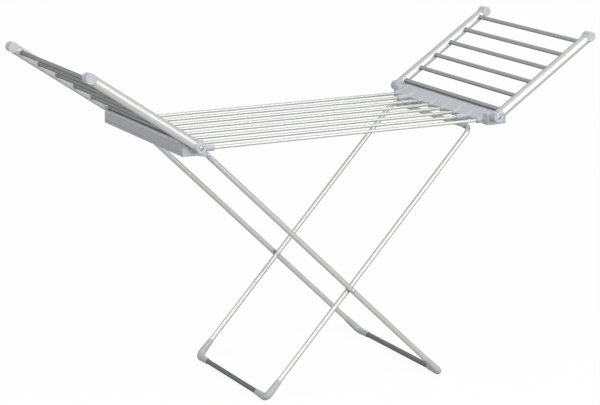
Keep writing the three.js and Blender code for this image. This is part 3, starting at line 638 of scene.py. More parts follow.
INNER_LEG_Y = OUTER_LEG_Y - OUTER_LEG_RADIUS - CROSSING_GAP - INNER_LEG_RADIUS


def side_frame(side):
    """Origin on a wing hinge axis, X outboard, Z up."""
    turn = Matrix.Rotation(0 if side == "right" else math.pi, 4, "Z")
    return Matrix.Translation(HINGES[side]) @ turn


def end_name(side, end):
    """near or far, for an end of a side's own Y axis."""
    return "far" if SIDES[side] * end > 0 else "near"


# Wings
def disc_profile(bore, reach):
    """[radius, depth] pairs of a disc, from its bore over its ringed face and rim to its inner face."""
    depth = DISC_OUTER - DISC_INNER
    ring = [(RING_RADIUS + RING_HALF * share, DISH_DEPTH - rise)
            for share, rise in ((-1, 0), (-0.5, RING_RISE), (0.5, RING_RISE), (1, 0))]
    edge = reach - RIM_RADIUS
    rim = [(RIM_RADIUS + radius, drop) for radius, drop in dome(edge, edge)]
    return [*bore, *ring, (DISH_RADIUS, DISH_DEPTH), *rim, (reach, depth), (bore[0][0], depth)]


def end_fitting(bore, collar_end, reach):
    """A disc on the side tube's end, with the collar that meets the tube."""
    disc = turned(disc_profile(bore, reach), facing(Y * DISC_OUTER, -Y))
    start = Vector((DISC_RADIUS / 2, WING_HALF, 0))
    length = collar_end - start.x
    radius = SIDE_TUBE_RADIUS + DISC_PROUD
    ease = DISC_PROUD / 2
    profile = [(0, 0), (radius, 0), (radius, length - ease), (radius - ease, length), (0, length)]
    collar = turned(profile, facing(start, X))
    if len(bore) > 1:
        clear = bar(Y * (DISC_INNER - OVERRUN), Y * (DISC_OUTER + OVERRUN), bore[1][0], SMALL_SIDES)
        combine(collar, "DIFFERENCE", clear)
    fitting = combine(disc, "UNION", collar)
    far = DISC_RADIUS * 2
    inside = box((-far, DISC_INNER - far, -far), (WING_LENGTH, DISC_INNER, far))
    return combine(fitting, "DIFFERENCE", inside)


def make_knuckle():
    hole = SCREW_RADIUS + CLEARANCE
    recess = SCREW_HEAD_RADIUS + 2 * CLEARANCE
    seat = SCREW_HEAD_HEIGHT + 2 * CLEARANCE
    bore = [(hole, seat), (recess, seat), (recess, DISH_DEPTH)]
    return end_fitting(bore, TUBE_INSET - CLEARANCE, DISC_RADIUS)


def make_tip_cap():
    return end_fitting([(0, DISH_DEPTH)], DISC_RADIUS, CAP_RADIUS)


def make_hinge_screw():
    """A pan head with a cross slot, its face just inside the knuckle's."""
    head = DISC_OUTER - CLEARANCE
    shank_end = head - (HOUSING_HALF - SCREW_DEPTH)
    crown = [(SCREW_HEAD_RADIUS * across, SCREW_CROWN_DEPTH * down) for across, down in SCREW_CROWN]
    profile = [
        (0, 0), *crown, (SCREW_HEAD_RADIUS, SCREW_CROWN_DEPTH), (SCREW_HEAD_RADIUS, SCREW_HEAD_HEIGHT),
        (SCREW_RADIUS, SCREW_HEAD_HEIGHT), (SCREW_RADIUS, shank_end), (0, shank_end),
    ]
    screw = turned(profile, facing(Y * head, -Y), SMALL_SIDES)
    length, width = SCREW_SLOT_HALF_LENGTH, SCREW_SLOT_HALF_WIDTH
    for x, z in ((length, width), (width, length)):
        combine(screw, "DIFFERENCE", box((-x, head - SCREW_SLOT_DEPTH, -z), (x, head + OVERRUN, z)))
    return screw


def make_rung():
    """A rung with its tapered ferrules, along Y."""
    end = DISC_INNER + SIDE_TUBE_WALL + RUNG_INSERTION
    seat = DISC_INNER - CLEARANCE
    bore = RUNG_RADIUS - RUNG_WALL
    half = [(RUNG_RADIUS, seat - FERRULE_LENGTH), (FERRULE_RADIUS, seat), (RUNG_RADIUS, seat),
            (RUNG_RADIUS, end), (bore, end)]
    return turned([*flipped(half, 0), *half], facing(Vector(), Y), SMALL_SIDES)


def make_wing_cable():
    """It enters at one knuckle and crosses the wing in every rung."""
    drop = RUNG_RADIUS - RUNG_WALL - CABLE_RADIUS - CLEARANCE
    corners = [Vector((TUBE_INSET, -WING_HALF, -drop))]
    for index in range(RUNG_COUNT):
        reach = END_RUNG_INSET + index * RUNG_PITCH
        start = -WING_HALF if index % 2 == 0 else WING_HALF
        corners += [Vector((reach, start, -drop)), Vector((reach, -start, -drop))]
    return make_cable(corners)


def add_wing(side):
    placing = side_frame(side) @ Matrix.Rotation(-WING_RISE, 4, "Y")
    body = f"{side}_wing"
    knuckle, tip_cap, screw = make_knuckle(), make_tip_cap(), make_hinge_screw()
    tip_turn = Matrix.Translation(X * WING_LENGTH) @ Matrix.Scale(-1, 4, X)
    for end in (1, -1):
        place = end_name(side, end)
        mirror = Matrix.Scale(end, 4, Y)
        dress(moved(copy_of(knuckle), placing @ mirror), f"{body}_{place}_knuckle_shell",
              "light_plastic", body, f"{body}_{place}_knuckle")
        dress(moved(copy_of(tip_cap), placing @ mirror @ tip_turn), f"{body}_{place}_cap_shell",
              "light_plastic", body, f"{body}_{place}_tip_cap")
        dress(moved(copy_of(screw), side_frame(side) @ mirror), f"{side}_{place}_pan_screw",
              "steel", "deck", f"{side}_{place}_hinge_screw")
        start = Vector((TUBE_INSET, WING_HALF * end, 0))
        finish = start + X * (WING_LENGTH - TUBE_INSET - TIP_INSET)
        dress(moved(tube(start, finish, SIDE_TUBE_RADIUS, SIDE_TUBE_WALL), placing),
              f"{body}_{place}_side_tube", "satin_aluminium", body, f"{body}_{place}_tube")
    for part in (knuckle, tip_cap, screw):
        bpy.data.objects.remove(part)
    dress(moved(make_wing_cable(), placing), f"{body}_cable", "cable_sheath",
          body, f"{body}_heating_cable")
    for index in range(RUNG_COUNT):
        reach = Matrix.Translation(X * (END_RUNG_INSET + index * RUNG_PITCH))
        dress(moved(make_rung(), placing @ reach), f"{body}_rung_tube_{index + 1}", "grey_rung",
              body, f"{body}_rung_{index + 1}")


# Deck
def outer_edge(inner, top):
    """A housing's level underside from its inner edge, then its outer face and the lip on top."""
    lip = arc((HOUSING_REACH - LIP_RADIUS, top - LIP_RADIUS), LIP_RADIUS, 0, 90)
    return [(inner, -HOUSING_DROP), (HOUSING_REACH, -HOUSING_DROP), *lip]


def housing_outline():
    return [*outer_edge(-BLOCK_INSET, CREST), (SLOPE_REACH, CREST), (-NOSE_REACH, NOSE_TOP),
            (-NOSE_REACH, NOSE_TOP - NOSE_HEIGHT)]


def block_outline():
    """The closed end beside a wing's knuckle."""
    return [*outer_edge(-BLOCK_REACH, BLOCK_TOP), (BLOCK_EDGE - BLOCK_REACH, BLOCK_TOP),
            (-BLOCK_REACH, BLOCK_TOP - BLOCK_EDGE)]


def cavity_outline():
    low, high = HOUSING_WALL - BLOCK_INSET, HOUSING_REACH - HOUSING_WALL
    floor, ceiling = HOUSING_WALL - HOUSING_DROP, CREST - HOUSING_WALL
    slope_at_nose = NOSE_TOP - HOUSING_WALL / math.cos(SLOPE) + NOSE_REACH * math.tan(SLOPE)
    slope_top = (ceiling - slope_at_nose) / math.tan(SLOPE)
    return [(low, floor), (high, floor), (high, ceiling), (slope_top, ceiling),
            (low, slope_at_nose + low * math.tan(SLOPE))]


def make_socket(index, side):
    """A rail's socket with a rounded mouth, longer next to the outermost and above the legs' hinge."""
    inward = min(index, RAIL_COUNT - 1 - index)
    reach = LONG_SOCKET_REACH if inward == 1 or (inward == 0 and side == "left") else SOCKET_REACH
    length = reach - BLOCK_INSET
    mouth = arc((SOCKET_RADIUS - MOUTH_ROUND, MOUTH_ROUND), MOUTH_ROUND, -90, 0)
    profile = [(0, 0), *mouth, (SOCKET_RADIUS, length), (0, length)]
    return turned(profile, facing(Vector((-reach, RAIL_Y[index], -RAIL_DROP)), X), TUBE_SIDES)


def make_fairing(index):
    """The finger that runs up the sloping top from a socket, wider and lower toward the crest."""
    run = SLOPE_REACH + NOSE_REACH
    rings, reaches = [], []
    for step in range(FAIRING_STEPS + 1):
        share = step / FAIRING_STEPS
        half = SOCKET_RADIUS + (FAIRING_HALF - SOCKET_RADIUS) * math.sin(math.pi / 2 * share)
        top = NOSE_TOP + share * run * math.tan(SLOPE) + FAIRING_RISE * (1 - share)
        rings.append([
            Vector((share * run - NOSE_REACH, RAIL_Y[index] + half * math.cos(angle),
                    top + FAIRING_DEPTH * (math.sin(angle) - 1)))
            for angle in round_angles(TUBE_SIDES)
        ])
        reaches.append(share * run)
    return skin("fairing", rings, reaches, 2 * math.pi * SOCKET_RADIUS, False)


def make_bore(index):
    start = Vector((-LONG_SOCKET_REACH - OVERRUN, RAIL_Y[index], -RAIL_DROP))
    end = Vector((HOUSING_WALL + OVERRUN - BLOCK_INSET, RAIL_Y[index], -RAIL_DROP))
    return bar(start, end, RAIL_RADIUS + CLEARANCE, SMALL_SIDES)


def make_housing_blank(side):
    """Cover and base in one, before they are hollowed and split."""
    blank = prism(housing_outline(), -INNER_HALF, INNER_HALF, EDGE_ROUND)
    rails = range(RAIL_COUNT)
    overlap = INNER_HALF - HOUSING_WALL
    combine(
        blank, "UNION",
        prism(block_outline(), overlap, HOUSING_HALF, EDGE_ROUND),
        prism(block_outline(), -HOUSING_HALF, -overlap, EDGE_ROUND),
        *[make_socket(index, side) for index in rails],
        *[make_fairing(index) for index in rails],
    )
    above = box((-NOSE_REACH, -INNER_HALF, CREST), (HOUSING_REACH, INNER_HALF, CREST + DISC_RADIUS))
    return combine(blank, "DIFFERENCE", above)


def half_space(side):
    """A block above or below the level where cover and base meet."""
    face = side * CLEARANCE / 2 - RAIL_DROP
    far = face - side * WING_LENGTH
    return box((-WING_LENGTH, -WING_LENGTH, min(face, far)), (WING_LENGTH, WING_LENGTH, max(face, far)))


def hollow(piece):
    half = INNER_HALF - HOUSING_WALL
    return combine(piece, "DIFFERENCE", prism(cavity_outline(), -half, half),
                   *[make_bore(index) for index in range(RAIL_COUNT)])


def pillars(low, high, radius):
    """Round pillars for a housing's screws, or their bores."""
    feet = [Vector((PILLAR_REACH, share * INNER_HALF, 0)) for share in PILLAR_SHARES]
    return [bar(foot + Z * low, foot + Z * high, radius, SMALL_SIDES) for foot in feet]


def make_cover(blank):
    cover = hollow(combine(copy_of(blank), "DIFFERENCE", half_space(1)))
    face = CLEARANCE / 2 - RAIL_DROP
    roof = CREST - HOUSING_WALL
    combine(cover, "UNION", *pillars(face, roof + HOUSING_WALL / 2, PILLAR_RADIUS))
    pillar_bores = pillars(face - OVERRUN, roof - OVERRUN, PILLAR_BORE)
    screw_holes = [
        bar(Y * (end * (HOUSING_HALF + OVERRUN)), Y * (end * (HOUSING_HALF - SCREW_DEPTH - CLEARANCE)),
            SCREW_RADIUS + CLEARANCE, SMALL_SIDES)
        for end in (1, -1)
    ]
    return combine(cover, "DIFFERENCE", *pillar_bores, *screw_holes)


def make_base(blank, underside):
    """The lower moulding, with what stands under it and counterbores for its screws."""
    base = combine(copy_of(blank), "DIFFERENCE", half_space(-1))
    hollow(combine(base, "UNION", *underside))
    face = -CLEARANCE / 2 - RAIL_DROP
    combine(base, "UNION", *pillars(HOUSING_WALL / 2 - HOUSING_DROP, face, PILLAR_RADIUS))
    sink = SHELL_SCREW_HEAD_HEIGHT + SHELL_SCREW_SINK - HOUSING_DROP
    return combine(
        base, "DIFFERENCE",
        *pillars(-HOUSING_DROP - OVERRUN, face + OVERRUN, PILLAR_BORE),
        *pillars(-HOUSING_DROP - OVERRUN, sink, SHELL_SCREW_HEAD_RADIUS + CLEARANCE),
    )


def rib_start():
    embed = HOUSING_WALL / 2
    return [(RIB_REACH, embed - HOUSING_DROP), (-BLOCK_INSET, embed - HOUSING_DROP),
            (-NOSE_REACH, embed + NOSE_TOP - NOSE_HEIGHT)]


def rib_end():
    return [(-BLOCK_INSET, -HOUSING_DROP - RIB_DEPTH), (RIB_REACH, -HOUSING_DROP)]


def make_ears():
    """Ears for the leg hinge, under the left housing."""
    x, z = -LEG_HINGE_INSET, -LEG_HINGE_DROP
    outline = [*rib_start(), *arc((x, z), EAR_RADIUS, 90, 270, 2 * ARC_STEPS), *rib_end()]
    inner = OUTER_LEG_RADIUS + CLEARANCE
    ears = []
    for end in (1, -1):
        for side in (1, -1):
            low, high = sorted(end * OUTER_LEG_Y + side * gap for gap in (inner, inner + EAR_THICKNESS))
            hole = bar(Vector((x, low - OVERRUN, z)), Vector((x, high + OVERRUN, z)),
                       PIN_RADIUS + CLEARANCE, SMALL_SIDES)
            ears.append(combine(prism(outline, low, high, EDGE_ROUND), "DIFFERENCE", hole))
    return ears


def make_catches():
    """Hooks for the inner frame's cross tube, under the right housing."""
    seat = INNER_LEG_RADIUS + CLEARANCE
    back = seat + CATCH_THICKNESS
    end = math.radians(-CATCH_WRAP)
    tongue = -CATCH_INSET - CATCH_TONGUE
    outline = [
        *rib_start(), (-CATCH_INSET, back - CATCH_DROP),
        (tongue, back - CATCH_DROP), (tongue, seat - CATCH_DROP),
        *arc((-CATCH_INSET, -CATCH_DROP), seat, 90, -CATCH_WRAP, 2 * ARC_STEPS),
        (back * math.cos(end) - CATCH_INSET, back * math.sin(end) - CATCH_DROP), *rib_end(),
    ]
    middle = CATCH_SHARE * INNER_HALF
    return [prism(outline, side * middle - CATCH_WIDTH / 2, side * middle + CATCH_WIDTH / 2, EDGE_ROUND)
            for side in (1, -1)]


def make_shell_screw(share):
    """A housing screw, its head sunk in the base's underside."""
    head = [*dome(SHELL_SCREW_HEAD_RADIUS, SHELL_SCREW_HEAD_HEIGHT * SHELL_SCREW_DOME),
            (SHELL_SCREW_HEAD_RADIUS, SHELL_SCREW_HEAD_HEIGHT)]
    shank = [(SHELL_SCREW_RADIUS, SHELL_SCREW_HEAD_HEIGHT), (SHELL_SCREW_RADIUS, SHELL_SCREW_LENGTH),
             (0, SHELL_SCREW_LENGTH)]
    face = Vector((PILLAR_REACH, share * INNER_HALF, SHELL_SCREW_SINK - HOUSING_DROP))
    screw = turned([*head, *shank], facing(face, Z), SMALL_SIDES)
    length, width = SHELL_SLOT_HALF_LENGTH, SHELL_SLOT_HALF_WIDTH
    for half in (Vector((length, width, 0)), Vector((width, length, 0))):
        slot = box(face - half - Z * OVERRUN, face + half + Z * SHELL_SLOT_DEPTH)
        combine(screw, "DIFFERENCE", slot)
    return screw


def make_leg_pin(end):
    """The pin of a leg's hinge, along Y, with a round head at each end."""
    reach = OUTER_LEG_RADIUS + CLEARANCE + EAR_THICKNESS + CLEARANCE
    length = 2 * (reach + PIN_HEAD_HEIGHT)
    head = [*dome(PIN_HEAD_RADIUS, PIN_HEAD_HEIGHT * PIN_DOME), (PIN_HEAD_RADIUS, PIN_HEAD_HEIGHT),
            (PIN_RADIUS, PIN_HEAD_HEIGHT)]
    start = Vector((-LEG_HINGE_INSET, end * OUTER_LEG_Y - length / 2, -LEG_HINGE_DROP))
    return turned([*head, *flipped(head, length)], facing(start, Y), SMALL_SIDES)


def make_outlet():
    """The cord outlet on the right housing's outer face: a tapered nozzle with a round mouth."""
    start = Vector((HOUSING_REACH - HOUSING_WALL / 2, OUTLET_SHARE * INNER_HALF, -OUTLET_DROP))
    length = HOUSING_WALL / 2 + OUTLET_LENGTH
    mouth = OUTLET_MOUTH_RADIUS - EDGE_ROUND
    profile = [(0, 0), (OUTLET_ROOT_RADIUS, 0), (OUTLET_MOUTH_RADIUS, length - EDGE_ROUND),
               *arc((mouth, length - EDGE_ROUND), EDGE_ROUND, 0, 90, CORNER_STEPS), (0, length)]
    return turned(profile, facing(start, X))


def switch_block(low, high, length, height, corner=0.0, rounding=0.0):
    """A block round the switch's axis, between two distances outboard, with round corners."""
    half_length, half_height = length / 2, height / 2
    outline = []
    for u, v, start in ((1, 1, 0), (-1, 1, 90), (-1, -1, 180), (1, -1, 270)):
        place = (u * (half_length - corner), v * (half_height - corner))
        outline += arc(place, corner, start, start + 90, CORNER_STEPS) if corner > 0 else [place]
    block = prism(outline, low, high, rounding)
    to_side = Matrix.Rotation(-math.pi / 2, 4, "Z")
    return moved(block, Matrix.Translation((0, SWITCH_AXIS.y, SWITCH_AXIS.z)) @ to_side)


def make_bezel():
    face = HOUSING_REACH + CLEARANCE
    length, height = SWITCH_BODY_LENGTH, SWITCH_BODY_HEIGHT
    flange = switch_block(face, face + BEZEL_THICKNESS, BEZEL_LENGTH, BEZEL_HEIGHT, BEZEL_CORNER,
                          BEZEL_EDGE)
    case = switch_block(face - SWITCH_BODY_DEPTH, face + CLEARANCE, length, height)
    recess = switch_block(face - ROCKER_RECESS_DEPTH, face + BEZEL_THICKNESS + OVERRUN,
                          length - 2 * SWITCH_WALL, height - 2 * SWITCH_WALL)
    half = Z * (height / 2 - CLEARANCE)
    pin_hole = bar(SWITCH_AXIS - half, SWITCH_AXIS + half, ROCKER_PIN_RADIUS + CLEARANCE, SMALL_SIDES)
    return combine(combine(flange, "UNION", case), "DIFFERENCE", recess, pin_hole)


def make_rocker():
    """The switch's rocker, its face hollowed in a smooth curve."""
    face = []
    for step in range(-2 * ARC_STEPS, 2 * ARC_STEPS + 1):
        share = step / (2 * ARC_STEPS)
        face.append((ROCKER_VALLEY + (ROCKER_TIP - ROCKER_VALLEY) * share * share, share * ROCKER_HALF))
    outline = [*face, (-ROCKER_SHOULDER, ROCKER_HALF), (-ROCKER_HEEL, ROCKER_HEEL_HALF),
               (-ROCKER_HEEL, -ROCKER_HEEL_HALF), (-ROCKER_SHOULDER, -ROCKER_HALF)]
    half = SWITCH_BODY_HEIGHT / 2 - SWITCH_WALL - CLEARANCE
    paddle = moved(prism(outline, -half, half, ROCKER_EDGE), Matrix.Rotation(-math.pi / 2, 4, "X"))
    pin_half = SWITCH_BODY_HEIGHT / 2 - 2 * CLEARANCE
    combine(paddle, "UNION", bar(Z * -pin_half, Z * pin_half, ROCKER_PIN_RADIUS, SMALL_SIDES))
    return moved(paddle, Matrix.Translation(SWITCH_AXIS) @ Matrix.Rotation(-ROCKER_TILT, 4, "Z"))


def make_deck_cable():
    """It crosses the deck in every rail, and both its ends come to the switch."""
    middle = HINGES["right"].x
    turn, lead = middle + CABLE_TURN_REACH, middle + CABLE_LEAD_REACH
    back = middle + HOUSING_REACH - SWITCH_BODY_DEPTH
    z = HINGES["right"].z - RAIL_DROP - RAIL_RADIUS + RAIL_WALL + CABLE_RADIUS + CLEARANCE
    switch_z = HINGES["right"].z - SWITCH_DROP
    near, far = [SWITCH_SHARE * INNER_HALF + side * CABLE_LEAD_SPREAD for side in (-1, 1)]
    corners = [Vector((back, near, switch_z)), Vector((lead, near, switch_z))]
    for index, y in enumerate(RAIL_Y):
        start = turn if index % 2 == 0 else -turn
        end = lead if index == RAIL_COUNT - 1 else -start
        corners += [Vector((start, y, z)), Vector((end, y, z))]
    corners += [Vector((lead, far, switch_z)), Vector((back, far, switch_z))]
    return make_cable(corners)


def add_rails():
    for index in range(RAIL_COUNT):
        node = f"rail_{index + 1}"
        low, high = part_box(node)
        middle = centre(node)
        start, end = Vector((low.x, middle.y, middle.z)), Vector((high.x, middle.y, middle.z))
        rail = tube(start, end, RAIL_RADIUS, RAIL_WALL, SMALL_SIDES)
        dress(rail, f"rail_tube_{index + 1}", "silver_tube", "deck", node)


def open_for_power(shell):
    """Adds the cord outlet and the switch's window to the right cover."""
    inside = HOUSING_REACH - HOUSING_WALL - OVERRUN
    window = switch_block(inside, HOUSING_REACH + OVERRUN, SWITCH_BODY_LENGTH + 2 * CLEARANCE,
                          SWITCH_BODY_HEIGHT + 2 * CLEARANCE)
    axis = Vector((0, OUTLET_SHARE * INNER_HALF, -OUTLET_DROP))
    mouth = HOUSING_REACH + OUTLET_LENGTH + OVERRUN
    bore = bar(axis + X * inside, axis + X * mouth, OUTLET_BORE_RADIUS, SMALL_SIDES)
    return combine(combine(shell, "UNION", make_outlet()), "DIFFERENCE", window, bore)


def add_housing(side, underside):
    place = side_frame(side)
    blank = make_housing_blank(side)
    cover = make_cover(blank)
    if side == "right":
        open_for_power(cover)
    dress(moved(cover, place), f"{side}_housing_shell", "light_plastic",
          "deck", f"{side}_housing_cover")
    dress(moved(make_base(blank, underside), place), f"{side}_housing_tray", "grey_plastic",
          "deck", f"{side}_housing_base")
    for number, share in enumerate(PILLAR_SHARES, 1):
        dress(moved(make_shell_screw(share), place), f"{side}_shell_screw_{number}", "steel", "deck")
    bpy.data.objects.remove(blank)


def add_deck():
    add_rails()
    dress(make_deck_cable(), "deck_cable", "cable_sheath", "deck", "deck_heating_cable")
    add_housing("right", make_catches())
    add_housing("left", make_ears())
    for end in (1, -1):
        place = end_name("left", end)
        dress(moved(make_leg_pin(end), side_frame("left")), f"{place}_hinge_pin", "steel",
              "deck", f"{place}_leg_pin")
    dress(moved(make_bezel(), side_frame("right")), "switch_frame", "dark_plastic",
          "deck", "switch_bezel")
    dress(moved(make_rocker(), side_frame("right")), "switch_rocker", "rocker_plastic",
          "rocker", "power_rocker")


# Legs
OUTER_HINGE = HINGES["left"] + X * LEG_HINGE_INSET - Z * LEG_HINGE_DROP
OUTER_FOOT = Vector((OUTER_FOOT_REACH, 0, FOOT_RADIUS - FOOT_FLAT))
INNER_TOP = HINGES["right"] - X * CATCH_INSET - Z * CATCH_DROP
INNER_FOOT = Vector((-INNER_FOOT_REACH, 0, FOOT_RADIUS - FOOT_FLAT))
OUTER_DOWN = (OUTER_FOOT - OUTER_HINGE).normalized()
INNER_UP = (INNER_TOP - INNER_FOOT).normalized()


def crossing():
    """Where the two frames cross, seen from the side."""
    gap = INNER_FOOT - OUTER_HINGE
    slant = OUTER_DOWN.x * INNER_UP.z - OUTER_DOWN.z * INNER_UP.x
    return OUTER_HINGE + OUTER_DOWN * ((gap.x * INNER_UP.z - gap.z * INNER_UP.x) / slant)


def pivot_hole(end):
    pivot = crossing()
    inner, outer = INNER_LEG_Y - 2 * INNER_LEG_RADIUS, OUTER_LEG_Y + 2 * OUTER_LEG_RADIUS
    low, high = sorted((end * inner, end * outer))
    return bar(pivot + Y * low, pivot + Y * high, RIVET_RADIUS + CLEARANCE, SMALL_SIDES)


def make_outer_leg(end):
    side = Y * (end * OUTER_LEG_Y)
    start = OUTER_HINGE + side + OUTER_DOWN * (NECK_LENGTH + CLEARANCE)
    stop = OUTER_FOOT + side - OUTER_DOWN * (FOOT_BEND + FOOT_STOP)
    return combine(tube(start, stop, OUTER_LEG_RADIUS, LEG_WALL), "DIFFERENCE", pivot_hole(end))


def make_eye(end):
    """The moulded eye on top of an outer leg."""
    top = OUTER_HINGE + Y * (end * OUTER_LEG_Y)
    half, ease = OUTER_LEG_RADIUS, EDGE_ROUND
    rim = [(EYE_RADIUS - ease + x, z) for x, z in arc((0, ease), ease, -90, 0, EDGE_STEPS)]
    side = [(0, 0), *rim]
    eye = turned([*side, *flipped(side, 2 * half)], facing(top - Y * half, Y))
    start = top + OUTER_DOWN * NECK_START
    neck = bar(start, top + OUTER_DOWN * NECK_LENGTH, OUTER_LEG_RADIUS)
    spigot = bar(start, top + OUTER_DOWN * (NECK_LENGTH + SPIGOT_LENGTH),
                 OUTER_LEG_RADIUS - LEG_WALL - CLEARANCE)
    past = Y * (half + OVERRUN)
    hole = bar(top - past, top + past, PIN_RADIUS + CLEARANCE, SMALL_SIDES)
    return combine(combine(eye, "UNION", neck, spigot), "DIFFERENCE", hole)


def make_foot(corner, up_leg, leg_radius, end):
    """An elbow from a leg to its floor bar, its sleeves slimmer to their mouths, with a flat sole."""
    inward = Y * -end
    reach = FOOT_BEND + FOOT_SLEEVE
    route = path_through([corner + up_leg * reach, corner, corner + inward * reach], FOOT_BEND)
    mouth = leg_radius + FOOT_MOUTH_WALL
    marks = [(0, mouth - EDGE_ROUND), (EDGE_ROUND, mouth)]
    (first, heading), (last, leaving) = route[0], route[-1]
    start = [(first + heading * distance, heading, radius) for distance, radius in marks]
    finish = [(last - leaving * distance, leaving, radius) for distance, radius in reversed(marks)]
    middle = [(place, heading, FOOT_RADIUS) for place, heading in route[1:-1]]
    elbow = swept([*start, *middle, *finish], up_leg.cross(inward).normalized())
    sockets = [
        bar(corner + way * (FOOT_BEND + FOOT_STOP - CLEARANCE), corner + way * (reach + OVERRUN),
            leg_radius + CLEARANCE)
        for way in (up_leg, inward)
    ]
    below = box((corner.x - reach, corner.y - 2 * reach, -2 * FOOT_RADIUS),
                (corner.x + reach, corner.y + 2 * reach, 0))
    return combine(elbow, "DIFFERENCE", *sockets, below)


def make_floor_bar(corner, leg_y, radius):
    half = leg_y - FOOT_BEND - FOOT_STOP
    return tube(corner - Y * half, corner + Y * half, radius, LEG_WALL)


def make_rivet(end):
    """The rivet that joins a pair of legs, its shoulder between them."""
    tail = INNER_LEG_Y - INNER_LEG_RADIUS - CLEARANCE - RIVET_HEAD_HEIGHT
    length = OUTER_LEG_Y + OUTER_LEG_RADIUS + CLEARANCE + RIVET_HEAD_HEIGHT - tail
    low = INNER_LEG_Y + INNER_LEG_RADIUS + CLEARANCE - tail
    high = OUTER_LEG_Y - OUTER_LEG_RADIUS - CLEARANCE - tail
    head = [*dome(RIVET_HEAD_RADIUS, RIVET_HEAD_HEIGHT * RIVET_DOME),
            (RIVET_HEAD_RADIUS, RIVET_HEAD_HEIGHT), (RIVET_RADIUS, RIVET_HEAD_HEIGHT)]
    shoulder = [(RIVET_RADIUS, low), (RIVET_SHOULDER_RADIUS, low),
                (RIVET_SHOULDER_RADIUS, high), (RIVET_RADIUS, high)]
    profile = [*head, *shoulder, *flipped(head, length)]
    return turned(profile, facing(crossing() + Y * (end * tail), Y * end))


def add_outer_legs():
    for place, end in ENDS.items():
        corner = OUTER_FOOT + Y * (end * OUTER_LEG_Y)
        pieces = {
            "leg": (make_outer_leg(end), "silver_tube", None),
            "leg_eye": (make_eye(end), "light_plastic", None),
            "foot": (make_foot(corner, -OUTER_DOWN, OUTER_LEG_RADIUS, end), "light_plastic",
                     "foot_plastic"),
            "pivot_rivet": (make_rivet(end), "steel", None),
        }
        for name, (piece, slot, look) in pieces.items():
            dress(piece, f"outer_{place}_{name}_visual", slot,
                  "outer_legs", f"outer_{place}_{name}", look=look)
    dress(make_floor_bar(OUTER_FOOT, OUTER_LEG_Y, OUTER_LEG_RADIUS), "outer_bottom_tube", "dark_tube",
          "outer_legs", "outer_floor_bar")


def add_inner_legs():
    bottom = INNER_FOOT + INNER_UP * (FOOT_BEND + FOOT_STOP)
    side = Y * INNER_LEG_Y
    route = path_through([bottom - side, INNER_TOP - side, INNER_TOP + side, bottom + side], INNER_BEND)
    stations = [(place, heading, INNER_LEG_RADIUS) for place, heading in route]
    frame_tube = swept(stations, INNER_UP.cross(Y).normalized(), LEG_WALL)
    combine(frame_tube, "DIFFERENCE", pivot_hole(1), pivot_hole(-1))
    dress(frame_tube, "inner_bent_tube", "silver_tube", "inner_legs", "inner_frame_tube")
    for place, end in ENDS.items():
        outer = INNER_LEG_Y - INNER_BEND
        start, finish = [INNER_TOP + Y * (end * y) for y in (outer - COLLAR_WIDTH, outer)]
        collar = tube(start, finish, INNER_LEG_RADIUS + COLLAR_WALL, COLLAR_WALL - COLLAR_FIT)
        dress(collar, f"inner_{place}_collar", "light_plastic", "inner_legs")
        corner = INNER_FOOT + Y * (end * INNER_LEG_Y)
        dress(make_foot(corner, INNER_UP, INNER_LEG_RADIUS, end), f"inner_{place}_elbow",
              "light_plastic", "inner_legs", f"inner_{place}_foot", look="foot_plastic")
    dress(make_floor_bar(INNER_FOOT, INNER_LEG_Y, INNER_LEG_RADIUS), "inner_bottom_tube", "dark_tube",
          "inner_legs", "inner_floor_bar")


# Stage
def add_camera():
    camera = add_object("camera", bpy.data.cameras.new("camera"))
    camera.location = CAMERA_PLACE
    tilt = Matrix.Rotation(math.pi / 2 + CAMERA_PITCH, 3, "X") @ Matrix.Rotation(CAMERA_ROLL, 3, "Z")
    camera.rotation_euler = (Matrix.Rotation(-CAMERA_YAW, 3, "Z") @ tilt).to_euler()
    camera.data.lens = CAMERA_LENS
    camera.data.sensor_width = CAMERA_SENSOR
    bpy.context.scene.camera = camera


def seen_plainly(tree):
    """1 for camera, glossy and transmission rays and 0 for the rest."""
    path = tree.nodes.new("ShaderNodeLightPath")
    share = path.outputs["Is Camera Ray"]
    for kind in ("Is Glossy Ray", "Is Transmission Ray"):
        either = tree.nodes.new("ShaderNodeMath")
        either.operation = "MAXIMUM"
        tree.links.new(share, either.inputs[0])
        tree.links.new(path.outputs[kind], either.inputs[1])
        share = either.outputs[0]
    return share


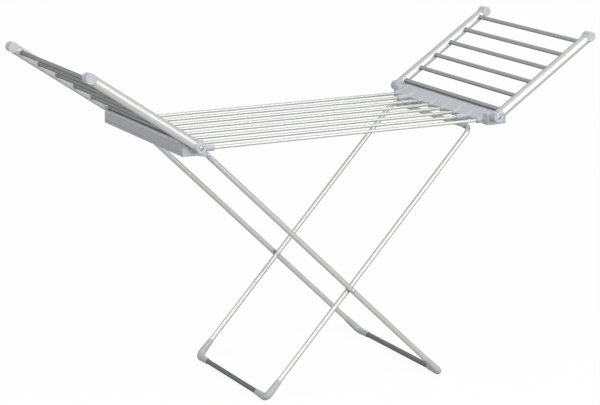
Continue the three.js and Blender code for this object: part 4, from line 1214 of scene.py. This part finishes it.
def add_world():
    world = bpy.data.worlds.new("studio")
    bpy.context.scene.world = world
    world.use_nodes = True
    tree = world.node_tree
    background = tree.nodes["Background"]
    set_inputs(background, Color=WHITE)
    tree.links.new(spread(tree, seen_plainly(tree), AMBIENT, 1.0), background.inputs["Strength"])


def add_lamp(name, direction, size, level):
    """A soft lamp. Level is what it adds to a white surface that faces it, in the object's middle."""
    data = bpy.data.lights.new(name, "AREA")
    data.size = size
    data.energy = level * math.pi ** 2 * LAMP_DISTANCE ** 2
    lamp = add_object(name, data)
    away = Vector(direction).normalized()
    lamp.location = Z * LAMP_TARGET + away * LAMP_DISTANCE
    lamp.rotation_euler = away.to_track_quat("Z", "Y").to_euler()


def add_floor():
    body = bmesh.new()
    corners = ((-1, -1), (1, -1), (1, 1), (-1, 1))
    body.faces.new([body.verts.new((u * FLOOR_REACH, v * FLOOR_REACH, 0)) for u, v in corners])
    floor = to_object("floor", body)
    material, tree, shader = new_material("floor")
    set_inputs(shader, Roughness=FLOOR_ROUGHNESS, Specular_IOR_Level=0)
    seen = seen_plainly(tree)
    glow = add_node(tree, "ShaderNodeEmission", Color=WHITE, Strength=1)
    mix = tree.nodes.new("ShaderNodeMixShader")
    for source, target in (
        (spread(tree, seen, FLOOR_TONE, FLOOR_SEEN_TONE), shader.inputs["Base Color"]),
        (spread(tree, seen, 0, FLOOR_GLOW), mix.inputs["Fac"]),
        (shader.outputs["BSDF"], mix.inputs[1]),
        (glow.outputs["Emission"], mix.inputs[2]),
        (mix.outputs["Shader"], tree.nodes["Material Output"].inputs["Surface"]),
    ):
        tree.links.new(source, target)
    floor.data.materials.append(material)


add_camera()
add_world()
add_lamp("key", direction=(0.17, -0.9, 0.36), size=9, level=1.05)
add_lamp("side", direction=(-0.8, -0.25, 0.5), size=5, level=0.38)
add_lamp("back", direction=(0.5, 0.7, 0.5), size=5, level=0.25)
add_floor()
bpy.context.scene.view_settings.view_transform = "Standard"

for side_name in SIDES:
    add_wing(side_name)
add_deck()
add_outer_legs()
add_inner_legs()
